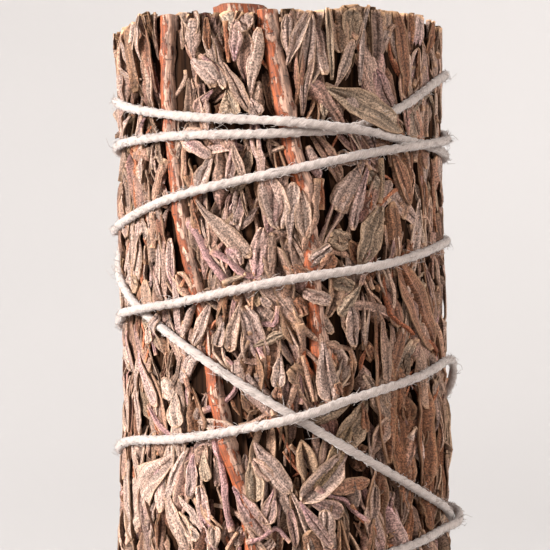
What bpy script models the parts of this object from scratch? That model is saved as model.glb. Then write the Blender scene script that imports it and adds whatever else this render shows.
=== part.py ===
"""Blue sage smudge stick: dried leafy sprigs packed upright in a round bundle, sawn off at both ends and
bound with one string.

Frame: metres, +Z up, origin in the middle of the sawn base. Directions round the bundle are angles from
the front (-Y), positive towards the right (+X).
"""

import math
import random

import bmesh
import bpy
import numpy as np
from mathutils import Matrix, Vector

MM = 0.001

# Bundle: the sprigs are sawn to one length, and twist as they run down to the base.
LENGTH = 100 * MM
LEAF_RADIUS = 19.0 * MM
FLUTE_DEPTH = 0.3 * MM
OUTLINE_POINTS = 72
TWIST = math.radians(50)
LEVELS = 10
CLEARANCE = 0.3 * MM
LEAST_EDGE = 0.3 * MM
SHRINK_BACK = 0.6 * MM

# Rings of sprigs in the top saw cut: count, distance from the middle, angle of the first one, and the
# degrees from one to the next. The middle ring leaves a stretch open for the thick stem.
INNER_RING = (6, 5.8 * MM, 10, 60)
MIDDLE_RING = (11, 11.6 * MM, 11, 29.4)
OUTER_RING = (18, 16.8 * MM, -45, 20)
STEM_JITTER = 0.45 * MM
SPRIG_STEM_RADII = (0.8 * MM, 1.35 * MM)
STEM_STANDS_PROUD = 0.4 * MM
STEM_SIDES = 8

# One old woody stem is far thicker than the rest and stands above the saw cut.
THICK_STEM_RADIUS = 3.3 * MM
THICK_STEM_PLACE = (13.0 * MM, -22)
THICK_STEM_CELL_RADIUS = 3.45 * MM
THICK_STEM_TOP = 1.6 * MM
THICK_STEM_SIDES = 14

# Outer sprigs whose bare stem runs down the outside of the bundle.
BARE_STEMS = (1, 3, 7, 10, 13, 16)
BARE_STEM_RADIUS = 1.1 * MM

# String: two-ply cotton, wound steeply up from the knot, twice round the top, and back down in even turns.
STRING_RADIUS = 0.5 * MM
STRING_LIES_AT = 20.2 * MM
STRING_SIDES = 6
STRING_STEP = 12
CROSSING_SPACING = 1.25 * MM
CROSSING_RUN_UP = 8
KNOT_SIZE = (1.5 * MM, 1.2 * MM, 1.6 * MM)
KNOT_PLACE = (210, 6.75 * MM)
KNOT_SINKS = 0.15 * MM
SLACK = (1176, 9, 0.9 * MM)

# The string's route: angle round the bundle, counted on from turn to turn, and height in millimetres.
ROUTE = (
    (-150, 7.5), (-90, 7.2), (0, 8.6), (90, 12.0), (180, 14.5), (270, 17.0),
    (360, 21.0), (450, 26.5), (540, 29.5), (630, 33.0),
    (720, 37.6), (765, 40.2), (804, 41.9), (900, 45.2), (990, 49.6),
    (1013, 51.4), (1045, 52.6), (1080, 55.0), (1101, 57.1), (1130, 59.3), (1160, 60.7),
    (1172, 60.0), (1182, 56.2), (1195, 54.6), (1220, 55.5), (1290, 61.0),
    (1367, 66.0), (1400, 67.6), (1440, 70.3), (1473, 72.0), (1507, 74.3),
    (1550, 75.6), (1620, 76.0), (1690, 76.2),
    (1734, 77.4), (1760, 79.5), (1800, 82.3), (1832, 84.7), (1866, 86.6),
    (1900, 88.4), (1980, 91.0), (2050, 92.3),
    (2076, 91.8), (2101, 90.1), (2125, 88.7), (2160, 87.7), (2197, 86.4), (2226, 85.6),
    (2340, 85.0), (2410, 85.8),
    (2444, 86.3), (2480, 86.5), (2525, 86.6), (2543, 87.3), (2557, 89.1), (2586, 93.6),
    (2610, 95.3), (2650, 95.0), (2700, 90.5), (2750, 82.0),
    (2790, 73.0), (2809, 69.5), (2839, 64.4), (2880, 56.0), (2905, 50.8), (2930, 46.3),
    (2964, 41.8), (3000, 36.5), (3060, 26.0), (3120, 16.5), (3180, 10.0),
    (3240, 6.4), (3330, 5.2), (3420, 5.6), (3450, 6.0),
)

LEAF_COLOUR = (0.42, 0.31, 0.24, 1.0)
BARK_COLOUR = (0.46, 0.19, 0.10, 1.0)
STRING_COLOUR = (0.86, 0.82, 0.78, 1.0)


def clear_scene():
    for obj in list(bpy.data.objects):
        bpy.data.objects.remove(obj, do_unlink=True)


def material(name, colour, roughness):
    made = bpy.data.materials.new(name)
    made.use_nodes = True
    shader = made.node_tree.nodes["Principled BSDF"]
    shader.inputs["Base Color"].default_value = colour
    shader.inputs["Roughness"].default_value = roughness
    shader.inputs["Metallic"].default_value = 0.0
    return made


def add_object(name, bm, finish):
    """The bmesh as a mesh object of that name, smooth apart from its sharp edges."""
    bmesh.ops.recalc_face_normals(bm, faces=bm.faces)
    mesh = bpy.data.meshes.new(name)
    bm.to_mesh(mesh)
    bm.free()
    mesh.shade_smooth()
    mesh.set_sharp_from_angle(angle=math.radians(40))
    mesh.materials.append(finish)
    obj = bpy.data.objects.new(name, mesh)
    bpy.context.scene.collection.objects.link(obj)
    return obj


def round_place(radius, degrees):
    """The point at that distance from the middle and that angle from the front."""
    angle = math.radians(degrees)
    return Vector((radius * math.sin(angle), -radius * math.cos(angle)))


def twisted(place, height):
    """A place in the top saw cut, carried down its sprig to this height."""
    turn = Matrix.Rotation(TWIST * (1 - height / LENGTH), 2)
    return Vector((*(turn @ place), height))


def loft(rings):
    """A closed solid through rings of points that all have the same count. Walls that face each other are
    split along the same diagonal, so that a gap between two twisted solids keeps its width."""
    bm = bmesh.new()
    rows = [[bm.verts.new(point) for point in ring] for ring in rings]
    count = len(rows[0])
    for low, high in zip(rows, rows[1:]):
        for i in range(count):
            j = (i + 1) % count
            split = i if low[i].co.x < low[j].co.x else j
            across = i + j - split
            bm.faces.new((low[i], low[j], high[across]))
            bm.faces.new((high[j], high[i], low[split]))
    bm.faces.new(reversed(rows[0]))
    bm.faces.new(rows[-1])
    return bm


def tube(path, radius, sides):
    """A round bar of that radius along a path, with flat ends."""
    rings = []
    normal = Vector((0.3, 0.9, 0.2))
    for i, point in enumerate(path):
        ahead = path[min(i + 1, len(path) - 1)] - path[max(i - 1, 0)]
        normal = (normal - normal.project(ahead)).normalized()
        across = ahead.normalized().cross(normal)
        corners = (2 * math.pi * k / sides for k in range(sides))
        rings.append([point + radius * (math.cos(a) * normal + math.sin(a) * across) for a in corners])
    return loft(rings)


def join(obj, guide):
    """Unites obj with a guide solid, which isn't shown itself."""
    guide.hide_render = True
    guide.display_type = "WIRE"
    union = obj.modifiers.new("union", "BOOLEAN")
    union.operation = "UNION"
    union.solver = "EXACT"
    union.object = guide


def bundle_outline(rng):
    """The outside of the packed leaves in the top saw cut, fluted where leaves fold outwards."""
    points = []
    for k in range(OUTLINE_POINTS):
        flute = FLUTE_DEPTH * (1 if k % 2 else -1) * rng.uniform(0.5, 1.0)
        points.append(round_place(LEAF_RADIUS + flute, 360 * k / OUTLINE_POINTS))
    return points


def clipped(polygon, normal, limit):
    """The part of a polygon on the near side of the line normal . p = limit."""
    kept = []
    for here, after in zip(polygon, polygon[1:] + polygon[:1]):
        inside, next_inside = (normal.dot(p) <= limit for p in (here, after))
        if inside:
            kept.append(here)
        if inside != next_inside:
            share = (limit - normal.dot(here)) / normal.dot(after - here)
            kept.append(here.lerp(after, share))
    return kept


def without_short_edges(polygon):
    kept = []
    for point in polygon:
        if not kept or (point - kept[-1]).length > LEAST_EDGE:
            kept.append(point)
    if (kept[0] - kept[-1]).length <= LEAST_EDGE:
        kept.pop()
    return kept


def cell(place, neighbours, outline):
    """The share of the bundle that the sprig at this place fills, with a gap to each neighbour. A neighbour
    is its place and the radius that it keeps for itself."""
    polygon = outline
    for other, kept_radius in neighbours:
        apart = other - place
        if apart.length < LEAST_EDGE:
            continue
        border = (other.length_squared - place.length_squared - kept_radius**2) / (2 * apart.length)
        polygon = clipped(polygon, apart.normalized(), border - CLEARANCE / 2)
    return without_short_edges(polygon)


def centroid(polygon):
    total, area = Vector((0, 0)), 0
    for here, after in zip(polygon, polygon[1:] + polygon[:1]):
        share = here.cross(after)
        total += (here + after) * share
        area += share
    return total / (3 * area)


def room(place, polygon):
    """How far a place is from the polygon's nearest edge."""
    edges = zip(polygon, polygon[1:] + polygon[:1])
    return min((b - a).normalized().cross(place - a) for a, b in edges)


def ring_places(ring, rng):
    count, radius, first, step = ring
    places = []
    for k in range(count):
        jitter = Vector((rng.uniform(-1, 1), rng.uniform(-1, 1))) * STEM_JITTER
        places.append(round_place(radius, first + step * k) + jitter)
    return places


def make_sprig(name, polygon, bare, rng, leaf, bark):
    """One sprig: its pressed leaves, and its stem, which stands a little proud of the saw cut."""
    top = LENGTH - rng.uniform(0, SHRINK_BACK)
    heights = [top * k / LEVELS for k in range(LEVELS + 1)]
    sprig = add_object(name, loft([[twisted(p, z) for p in polygon] for z in heights]), leaf)
    place = centroid(polygon)
    radius = min(rng.uniform(*SPRIG_STEM_RADII), room(place, polygon))
    if bare:
        place *= (LEAF_RADIUS + FLUTE_DEPTH - BARE_STEM_RADIUS) / place.length
        radius = BARE_STEM_RADIUS
    start = 2 * MM if bare else 0.9 * LENGTH
    steps = LEVELS if bare else 2
    end = LENGTH + rng.uniform(0.2, 1.0) * STEM_STANDS_PROUD
    path = [twisted(place, start + (end - start) * k / steps) for k in range(steps + 1)]
    join(sprig, add_object(name + "_stem_guide", tube(path, radius, STEM_SIDES), bark))


def make_thick_stem(place, bark):
    top = LENGTH + THICK_STEM_TOP
    path = [twisted(place, top * k / LEVELS) for k in range(LEVELS + 1)]
    rings = []
    for point in path:
        corners = (2 * math.pi * k / THICK_STEM_SIDES for k in range(THICK_STEM_SIDES))
        rings.append([point + THICK_STEM_RADIUS * Vector((math.cos(a), math.sin(a), 0)) for a in corners])
    add_object("thick_stem", loft(rings), bark)


def route_heights(angles):
    """The string's height at each angle, smooth through the points of its route."""
    known = np.array(ROUTE, float)
    slopes = np.gradient(known[:, 1], known[:, 0])
    piece = np.clip(np.searchsorted(known[:, 0], angles, side="right") - 1, 0, len(known) - 2)
    start, end = known[piece], known[piece + 1]
    run = end[:, 0] - start[:, 0]
    t = (angles - start[:, 0]) / run
    rise = start[:, 1] * (1 + 2 * t) * (1 - t) ** 2 + end[:, 1] * t * t * (3 - 2 * t)
    bend = slopes[piece] * t * (1 - t) ** 2 - slopes[piece + 1] * t * t * (1 - t)
    return (rise + run * bend) * MM


def smoothed(values, reach):
    """Raises each value to the highest within reach, then evens the steps out."""
    padded = np.pad(values, 2 * reach, mode="edge")
    raised = np.array([padded[i : i + 2 * reach + 1].max() for i in range(len(padded) - 2 * reach)])
    weights = np.hanning(2 * reach + 3)[1:-1]
    return np.convolve(raised, weights / weights.sum(), mode="valid")


def route_lifts(heights):
    """How far each point of the string rides above the turns that lie under it, at one point a degree.
    The winding began at the route's end, so of two crossing turns the later one in the route lies below."""
    lifts = np.zeros(len(heights))
    for _ in range(2):
        needed = np.zeros(len(heights))
        for turn in range(360, len(heights), 360):
            upper, lower = slice(0, len(heights) - turn), slice(turn, None)
            apart = heights[upper] - heights[lower]
            over = np.sqrt(np.clip(CROSSING_SPACING**2 - apart**2, 0, None))
            touching = over > 0
            needed[upper] = np.maximum(needed[upper], np.where(touching, over + lifts[lower], 0))
        lifts = smoothed(needed, CROSSING_RUN_UP)
    return lifts


def string_path():
    angles = np.arange(ROUTE[0][0], ROUTE[-1][0] + 1, dtype=float)
    heights = route_heights(angles)
    middle, spread, height = SLACK
    slack = height * np.exp(-(((angles - middle) / spread) ** 2))
    radii = STRING_LIES_AT + route_lifts(heights) + slack
    points = [Vector((*round_place(r, a), z)) for a, r, z in zip(angles, radii, heights)]
    return points[::STRING_STEP]


def make_string(cotton):
    string = add_object("binding_string", tube(string_path(), STRING_RADIUS, STRING_SIDES), cotton)
    knot = bmesh.new()
    bmesh.ops.create_icosphere(knot, subdivisions=2, radius=1.0)
    degrees, height = KNOT_PLACE
    sits_at = STRING_LIES_AT - STRING_RADIUS + KNOT_SIZE[1] - KNOT_SINKS
    place = Vector((*round_place(sits_at, degrees), height))
    turn = Matrix.Rotation(math.radians(degrees), 4, "Z")
    knot.transform(Matrix.Translation(place) @ turn @ Matrix.Diagonal((*KNOT_SIZE, 1)))
    join(string, add_object("knot_guide", knot, cotton))


def main():
    clear_scene()
    rng = random.Random(7)
    leaf = material("dried_leaf", LEAF_COLOUR, 0.85)
    bark = material("bark", BARK_COLOUR, 0.7)
    cotton = material("cotton", STRING_COLOUR, 0.9)

    inner = ring_places(INNER_RING, rng)
    middle = ring_places(MIDDLE_RING, rng)
    outer = ring_places(OUTER_RING, rng)
    thick = round_place(*THICK_STEM_PLACE)
    sprigs = {"core_sprig": Vector((0, 0))}
    sprigs |= {f"inner_sprig_{k}": place for k, place in enumerate(inner, 1)}
    sprigs |= {f"middle_sprig_{k:02}": place for k, place in enumerate(middle, 1)}
    sprigs |= {f"outer_sprig_{k:02}": place for k, place in enumerate(outer, 1)}
    bare = {f"outer_sprig_{k:02}" for k in BARE_STEMS}

    neighbours = [(place, 0) for place in sprigs.values()] + [(thick, THICK_STEM_CELL_RADIUS)]
    outline = bundle_outline(rng)
    for name, place in sprigs.items():
        make_sprig(name, cell(place, neighbours, outline), name in bare, rng, leaf, bark)
    make_thick_stem(thick, bark)
    make_string(cotton)


main()
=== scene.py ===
"""Looks of the blue sage smudge stick: dried leaves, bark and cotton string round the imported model.

Directions round the bundle are degrees from the front (-Y), positive towards the right (+X). Lengths are
metres, and MM turns millimetres into them. Every leaf, stem and strand is a closed shell.
"""

import math
from typing import NamedTuple

import bpy
import numpy as np
from bpy.props import FloatProperty, FloatVectorProperty, IntProperty, PointerProperty
from bpy.types import Operator, Panel, PropertyGroup
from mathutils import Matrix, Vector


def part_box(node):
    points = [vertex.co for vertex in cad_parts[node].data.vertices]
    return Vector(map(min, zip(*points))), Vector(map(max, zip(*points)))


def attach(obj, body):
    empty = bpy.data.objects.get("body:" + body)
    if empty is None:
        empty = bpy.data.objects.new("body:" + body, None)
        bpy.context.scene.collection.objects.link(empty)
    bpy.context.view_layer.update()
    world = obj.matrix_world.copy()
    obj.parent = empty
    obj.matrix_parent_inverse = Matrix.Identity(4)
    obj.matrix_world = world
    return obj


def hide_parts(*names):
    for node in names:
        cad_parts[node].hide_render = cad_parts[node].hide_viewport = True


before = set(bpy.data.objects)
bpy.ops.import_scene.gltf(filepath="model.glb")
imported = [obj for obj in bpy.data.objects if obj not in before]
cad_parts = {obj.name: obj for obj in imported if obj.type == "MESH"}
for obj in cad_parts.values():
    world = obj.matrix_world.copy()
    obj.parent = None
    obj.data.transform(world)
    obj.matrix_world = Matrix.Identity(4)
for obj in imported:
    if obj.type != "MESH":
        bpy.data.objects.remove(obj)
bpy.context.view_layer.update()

bl_info = {
    "name": "Sage Smudge Stick",
    "version": (1, 0, 0),
    "blender": (4, 5, 0),
    "location": "3D View > Sidebar > Sage Stick",
    "description": "Builds a bound bundle of dried sage sprigs round its packed model",
    "category": "Add Mesh",
}

MM = 0.001
BODY = "root"

# The bundle as it was modelled: the sprigs twist on their way down, and the string lies at one distance
# from the middle where no turn crosses another.
LENGTH = 100 * MM
TWIST = 50.0
STRING_LIES_AT = 20.2 * MM
# Where two turns cross, their middles are this far apart, and the upper one rises this many degrees before.
CROSSING_SPACING = 1.15 * MM
CROSSING_RUN_UP = 8
# The loop at the right side stands off: its counted angle, its spread in degrees and its distance.
SLACK = (1176, 9, 0.9 * MM)
# Angle from the front, and height.
KNOT_PLACE = (210, 6.75 * MM)

# The string's route: angle round the bundle, counted on from turn to turn, and height in millimetres.
ROUTE = (
    (-150, 7.5), (-90, 7.2), (0, 8.6), (90, 12.0), (180, 14.5), (270, 17.0),
    (360, 21.0), (450, 26.5), (540, 29.5), (630, 33.0),
    (720, 37.6), (765, 40.2), (804, 41.9), (900, 45.2), (990, 49.6),
    (1013, 51.4), (1045, 52.6), (1080, 55.0), (1101, 57.1), (1130, 59.3), (1160, 60.7),
    (1172, 60.0), (1182, 56.2), (1195, 54.6), (1220, 55.5), (1290, 61.0),
    (1367, 66.0), (1400, 67.6), (1440, 70.3), (1473, 72.0), (1507, 74.3),
    (1550, 75.6), (1620, 76.0), (1690, 76.2),
    (1734, 77.4), (1760, 79.5), (1800, 82.3), (1832, 84.7), (1866, 86.6),
    (1900, 88.4), (1980, 91.0), (2050, 92.3),
    (2076, 91.8), (2101, 90.1), (2125, 88.7), (2160, 87.7), (2197, 86.4), (2226, 85.6),
    (2340, 85.0), (2410, 85.8),
    (2444, 86.3), (2480, 86.5), (2525, 86.6), (2543, 87.3), (2557, 89.1), (2586, 93.6),
    (2610, 95.3), (2650, 95.0), (2700, 90.5), (2750, 82.0),
    (2790, 73.0), (2809, 69.5), (2839, 64.4), (2880, 56.0), (2905, 50.8), (2930, 46.3),
    (2964, 41.8), (3000, 36.5), (3060, 26.0), (3120, 16.5), (3180, 10.0),
    (3240, 6.4), (3330, 5.2), (3420, 5.6), (3450, 6.0),
)


def linear(colour):
    """An sRGB hex colour as linear RGBA."""
    shares = [int(colour[i : i + 2], 16) / 255 for i in (1, 3, 5)]
    return tuple(c / 12.92 if c <= 0.04045 else ((c + 0.055) / 1.055) ** 2.4 for c in shares) + (1.0,)


def colour_property(name, description, colour):
    return FloatVectorProperty(
        name=name, description=description, subtype="COLOR", size=4, min=0, max=1, default=linear(colour)
    )


def length_property(name, description, size):
    return FloatProperty(name=name, description=description, unit="LENGTH", precision=5, default=size)


def power_property(name, description, power):
    return FloatProperty(name=name, description=description, unit="POWER", default=power)


# ---------------------------------------------------------------------------------------------------------
# Settings


class LeafSettings(PropertyGroup):
    """Sizes and colours of the dried leaves."""

    seed: IntProperty(name="Seed", description="Another number lays the leaves another way", default=13)
    count: IntProperty(name="Leaves", description="Leaves laid on the outside", default=1750)
    twigs: IntProperty(name="Stalks", description="Loose stalks and twigs among the leaves", default=600)
    thickness: length_property("Thickness", "Thickness of a dried, felted leaf", 0.28 * MM)
    reach: length_property("Reach", "Distance from the middle that the leaves fill", 20.45 * MM)
    floor: length_property("Floor", "Distance from the middle at which the outer leaves start", 18.4 * MM)
    grey: colour_property("Grey tan", "Felted upper side of most leaves", "#836e63")
    brown: colour_property("Brown", "Leaves browned with age", "#714831")
    olive: colour_property("Olive", "Leaves that kept some green", "#7b6a50")
    purple: colour_property("Purple", "Flush at the foot of some leaves", "#896367")
    # The pale edge colour is for worn edges and fresh cuts, and on the leaf margins it is also a painted
    # highlight.
    pale: colour_property("Pale edge", "Worn edges and fresh cuts", "#be9571")


class StemSettings(PropertyGroup):
    """Sizes and colours of the woody stems."""

    stalk: colour_property("Stalk", "Leaf stalks and thin twigs", "#866e5d")
    bare_radius: length_property("Bare stem", "Radius of a stem on the outside", 1.1 * MM)
    thick_radius: length_property("Thick stem", "Radius of the one old stem", 3.25 * MM)
    red: colour_property("Inner bark", "Red bark where the outer layer peeled", "#7d3b17")
    bark: colour_property("Outer bark", "Weathered outer bark", "#92705e")
    wood: colour_property("Sawn wood", "End grain of a sawn stem", "#a87f5c")


class StringSettings(PropertyGroup):
    """Size and colour of the binding string."""

    radius: length_property("Radius", "Radius of the two-ply string", 0.51 * MM)
    lay: length_property("Lay", "Length in which the two plies turn once round each other", 2.7 * MM)
    ring_step: length_property("Ring step", "Distance between rings of the strand's mesh", 0.32 * MM)
    hairs: IntProperty(name="Hairs", description="Loose fibres that stand off the string", default=8300)
    colour: colour_property("Cotton", "Undyed cotton", "#a99b93")


class StageSettings(PropertyGroup):
    """Backdrop, lights and camera."""

    paper: colour_property("Backdrop", "Pale seamless backdrop", "#aca8a6")
    key_power: power_property("Key light", "Soft light from the left", 53.0)
    fill_power: power_property("Fill light", "Weak light from the right", 21.0)
    backdrop_power: power_property("Backdrop light", "Light on the backdrop only", 13.0)
    sky: FloatProperty(name="Sky", description="Even light from all round", default=0.53)
    lens: FloatProperty(name="Lens", description="Focal length in millimetres", default=107.3)
    eye: FloatVectorProperty(
        name="Eye", description="Place of the camera", subtype="TRANSLATION", default=(-0.00098, -0.2, 0.0709)
    )


# ---------------------------------------------------------------------------------------------------------
# Places round the bundle


def around(degrees, radius, height):
    """Points at these angles from the front, distances from the middle and heights."""
    angle = np.radians(degrees)
    return np.stack(np.broadcast_arrays(radius * np.sin(angle), -radius * np.cos(angle), height), -1)


def swell(degrees, height):
    """The bundle leans and is drawn in where the string is tight: how much further out it reaches here."""
    heights = (15, 42, 55, 62, 84, 90, 100)
    right = np.interp(height / MM, heights, (0, 0.25, 0.4, -0.5, -1.1, -1.15, -1.2))
    left = np.interp(height / MM, heights, (0, -0.45, -0.95, -0.85, -0.25, 0.25, 0.15))
    side = np.sin(np.radians(degrees))
    return np.where(side > 0, right, left) * np.abs(side) * MM


def rim(degrees):
    """Height of the top saw cut, which was sawn by hand and isn't quite level."""
    known = (-180, -90, -75, -66, -57, -40, -35, -24, 4, 14, 20, 30, 36, 45, 55, 66, 80, 120, 180)
    above = (0, 0, 0, 0.4, 1.0, 1.0, 0.3, 0.1, 0.2, 0.5, 0.8, 1.1, 0.7, 0.8, 1.1, 1.1, 0.6, 0.2, 0)
    return LENGTH + np.interp(np.mod(degrees + 180, 360) - 180, known, above) * MM


def smooth(share):
    """Rises from 0 to 1 with the share, level at both ends."""
    share = np.clip(share, 0, 1)
    return share * share * (3 - 2 * share)


def smooth_through(run, values, along):
    """A smooth curve through the values, read at these distances."""
    if len(run) > 2:
        slopes = np.gradient(values, run)
    else:
        slopes = np.full(len(run), (values[-1] - values[0]) / run[-1])
    piece = np.clip(np.searchsorted(run, along, side="right") - 1, 0, len(run) - 2)
    width = run[piece + 1] - run[piece]
    t = (along - run[piece]) / width
    rise = values[piece] * (1 + 2 * t) * (1 - t) ** 2 + values[piece + 1] * t * t * (3 - 2 * t)
    return rise + width * (slopes[piece] * t * (1 - t) ** 2 - slopes[piece + 1] * t * t * (1 - t))


def run_along(path):
    """How far along the path each of its points lies."""
    return np.concatenate([[0], np.cumsum(np.linalg.norm(np.diff(path, axis=0), axis=1))])


def full_turn(sides):
    """The angles of a ring's points."""
    return 2 * math.pi * np.arange(sides) / sides


def waver(along, rng, waves=4, longest=1.0):
    """A smooth random line with values from about -1 to 1; its longest wave has that length."""
    total = np.zeros(np.shape(along))
    for k in range(1, waves + 1):
        total = total + np.sin(2 * math.pi * (along * k / longest * rng.uniform(0.8, 1.2) + rng.random())) / k
    return total / 1.6


class StringLine:
    """The string's route, read at any angle counted on from turn to turn."""

    def __init__(self):
        known = np.array(ROUTE, float)
        self.first, self.last = known[0, 0], known[-1, 0]
        self.angles = np.arange(self.first, self.last + 1)
        self.heights = smooth_through(known[:, 0], known[:, 1], self.angles) * MM
        middle, spread, off = SLACK
        slack = off * np.exp(-(((self.angles - middle) / spread) ** 2))
        tight = 0.5 * np.minimum(0, swell(self.angles, self.heights))
        self.radii = STRING_LIES_AT + self.crossing_lifts() + slack + tight
        self.slopes = np.gradient(self.heights) / (np.radians(1) * STRING_LIES_AT)

    def crossing_lifts(self):
        """How far each degree of the string rides above the turns under it. Winding began at the end."""
        heights = self.heights
        lifts = np.zeros(len(heights))
        reach = CROSSING_RUN_UP
        weights = np.hanning(2 * reach + 3)[1:-1]
        for _ in range(2):
            needed = np.zeros(len(heights))
            for turn in range(360, len(heights), 360):
                upper, lower = slice(0, len(heights) - turn), slice(turn, None)
                apart = heights[upper] - heights[lower]
                over = np.sqrt(np.clip(CROSSING_SPACING**2 - apart**2, 0, None))
                needed[upper] = np.maximum(needed[upper], np.where(over > 0, over + lifts[lower], 0))
            padded = np.pad(needed, 2 * reach, mode="edge")
            windows = np.lib.stride_tricks.sliding_window_view(padded, 2 * reach + 1)
            lifts = np.convolve(windows.max(axis=1), weights / weights.sum(), mode="valid")
        return lifts

    def turns_past(self, degrees):
        """For each turn of the string that passes these angles: its height, radius and slope there."""
        for turn in range(-1, 11):
            counted = np.mod(degrees, 360) + 360 * turn
            inside = (counted >= self.first) & (counted <= self.last)
            if np.any(inside):
                height = np.where(inside, np.interp(counted, self.angles, self.heights), -1.0)
                radius = np.interp(counted, self.angles, self.radii)
                yield height, radius, np.interp(counted, self.angles, self.slopes)

    def limit(self, degrees, height, reach, radius):
        """How far out a leaf may come: the string presses a groove into it."""
        allowed = np.full(np.shape(degrees), reach)
        for turn_height, turn_radius, slope in self.turns_past(degrees):
            off = np.abs(height - turn_height) / np.sqrt(1 + slope**2)
            groove = turn_radius - 0.9 * radius + 0.5 * MM * (off / (1.7 * radius)) ** 2
            allowed = np.minimum(allowed, groove)
        return allowed

    def crest(self, degrees, height, radius):
        """How far out something that lies over the string has to be."""
        least = np.zeros(np.shape(degrees))
        for turn_height, turn_radius, slope in self.turns_past(degrees):
            off = np.abs(height - turn_height) / np.sqrt(1 + slope**2)
            least = np.maximum(least, turn_radius + 1.1 * radius - 0.3 * MM * (off / (1.5 * radius)) ** 2)
        return least


class Heap:
    """How far out the leaves laid so far reach, on a grid of angle and height."""

    CELL = 0.3 * MM

    def __init__(self, floor):
        self.columns = int(2 * math.pi * STRING_LIES_AT / self.CELL)
        self.rows = int(LENGTH / self.CELL) + 20
        self.reach = np.full((self.columns, self.rows), floor)
        self.clear = np.zeros((self.columns, self.rows), bool)

    def cells(self, degrees, height):
        """The column and row of the grid that each place is in."""
        column = np.floor(np.mod(degrees, 360) / 360 * self.columns).astype(int) % self.columns
        row = np.clip((height / self.CELL).astype(int), 0, self.rows - 1)
        return column, row

    def cover(self, degrees, height, radius):
        """Raises the heap to these distances from the middle."""
        np.maximum.at(self.reach, self.cells(degrees, height), radius)


# ---------------------------------------------------------------------------------------------------------
# Meshes


class Growth:
    """Closed shells gathered for one piece. A shell is rows of rings with the same count of points."""

    def __init__(self):
        self.points, self.walls, self.caps, self.blades, self.tones = [], [], [], [], []
        self.count = 0

    def add(self, rings, blade, tone):
        """blade is across and along in millimetres, and shade. tone is the shares of brown, olive, purple
        and pale."""
        rows, sides = rings.shape[:2]
        index = np.arange(rows * sides).reshape(rows, sides)
        low, high = index[:-1], index[1:]
        walls = np.stack([low, np.roll(low, -1, 1), np.roll(high, -1, 1), high], -1).reshape(-1, 4)
        caps = np.stack([index[0, ::-1], index[-1]])
        points = rings.reshape(-1, 3)
        a, b, c, d = (points[walls[:, k]] - points[0] for k in range(4))
        if np.sum(a * (np.cross(b, c) + np.cross(c, d))) < 0:
            walls, caps = walls[:, ::-1], caps[:, ::-1]
        self.points.append(points)
        self.walls.append(walls + self.count)
        self.caps.extend(caps + self.count)
        self.blades.append(np.broadcast_to(blade, rings.shape).reshape(-1, 3))
        self.tones.append(np.broadcast_to(tone, (rows, sides, 4)).reshape(-1, 4))
        self.count += len(points)

    def piece(self, name, finish, slot, node=None, sharp=50):
        """Makes one object of the shells. It takes the node's place where one is given."""
        points, walls = np.concatenate(self.points), np.concatenate(self.walls)
        corners = np.concatenate([walls.ravel(), *self.caps])
        sizes = np.array([4] * len(walls) + [len(cap) for cap in self.caps])
        mesh = bpy.data.meshes.new(name)
        mesh.vertices.add(len(points))
        mesh.vertices.foreach_set("co", points.astype(np.float32).ravel())
        mesh.loops.add(len(corners))
        mesh.loops.foreach_set("vertex_index", corners.astype(np.int32))
        mesh.polygons.add(len(sizes))
        mesh.polygons.foreach_set("loop_start", (np.cumsum(sizes) - sizes).astype(np.int32))
        mesh.update(calc_edges=True)
        blade = mesh.attributes.new("blade", "FLOAT_VECTOR", "POINT")
        blade.data.foreach_set("vector", np.concatenate(self.blades).astype(np.float32).ravel())
        tone = mesh.attributes.new("tone", "FLOAT_COLOR", "POINT")
        tone.data.foreach_set("color", np.concatenate(self.tones).astype(np.float32).ravel())
        mesh.shade_smooth()
        mesh.set_sharp_from_angle(angle=math.radians(sharp))
        mesh.materials.append(finish)
        made = bpy.data.objects.new(name, mesh)
        bpy.context.scene.collection.objects.link(made)
        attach(made, BODY)
        if node:
            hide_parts(node)
        return made


def tube_rings(path, radii, sides, squash=None):
    """Rings round a path. squash holds factors for each ring and side, where the tube isn't round."""
    ahead = np.gradient(path, axis=0)
    ahead /= np.linalg.norm(ahead, axis=1, keepdims=True)
    normal = np.empty_like(path)
    last = np.cross(ahead[0], (0.31, 0.53, 0.79))
    for i, along in enumerate(ahead):
        last = last - along * last.dot(along)
        last = last / np.linalg.norm(last)
        normal[i] = last
    side = np.cross(ahead, normal)
    turn = full_turn(sides)[:, None]
    out = np.broadcast_to(radii, len(path))[:, None] * (1 if squash is None else squash)
    out = np.broadcast_to(out, (len(path), sides))[..., None]
    return path[:, None] + out * (np.cos(turn) * normal[:, None] + np.sin(turn) * side[:, None])


# ---------------------------------------------------------------------------------------------------------
# Materials


def add_node(tree, kind, settings=None, inputs=None):
    """Adds a node. An input, by name or number, is set to its value, or linked from its socket or from the
    first socket of its node."""
    made = tree.nodes.new(kind)
    for key, value in (settings or {}).items():
        setattr(made, key, value)
    for key, value in (inputs or {}).items():
        if isinstance(value, bpy.types.Node):
            value = value.outputs[0]
        if isinstance(value, bpy.types.NodeSocket):
            tree.links.new(value, made.inputs[key])
        else:
            made.inputs[key].default_value = value
    return made


def new_material(name, roughness, ior=1.45, sheen=0.0):
    made = bpy.data.materials.new(name)
    made.use_nodes = True
    shader = made.node_tree.nodes["Principled BSDF"]
    shader.inputs["Roughness"].default_value = roughness
    shader.inputs["IOR"].default_value = ior
    shader.inputs["Sheen Weight"].default_value = sheen
    shader.inputs["Sheen Roughness"].default_value = 0.4
    return made, made.node_tree, shader


def read_marks(tree):
    """What the mesh says of each point: its place on the blade in millimetres, and its tone."""
    blade = add_node(tree, "ShaderNodeAttribute", {"attribute_name": "blade"})
    return blade.outputs["Vector"], add_node(tree, "ShaderNodeAttribute", {"attribute_name": "tone"})


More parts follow.
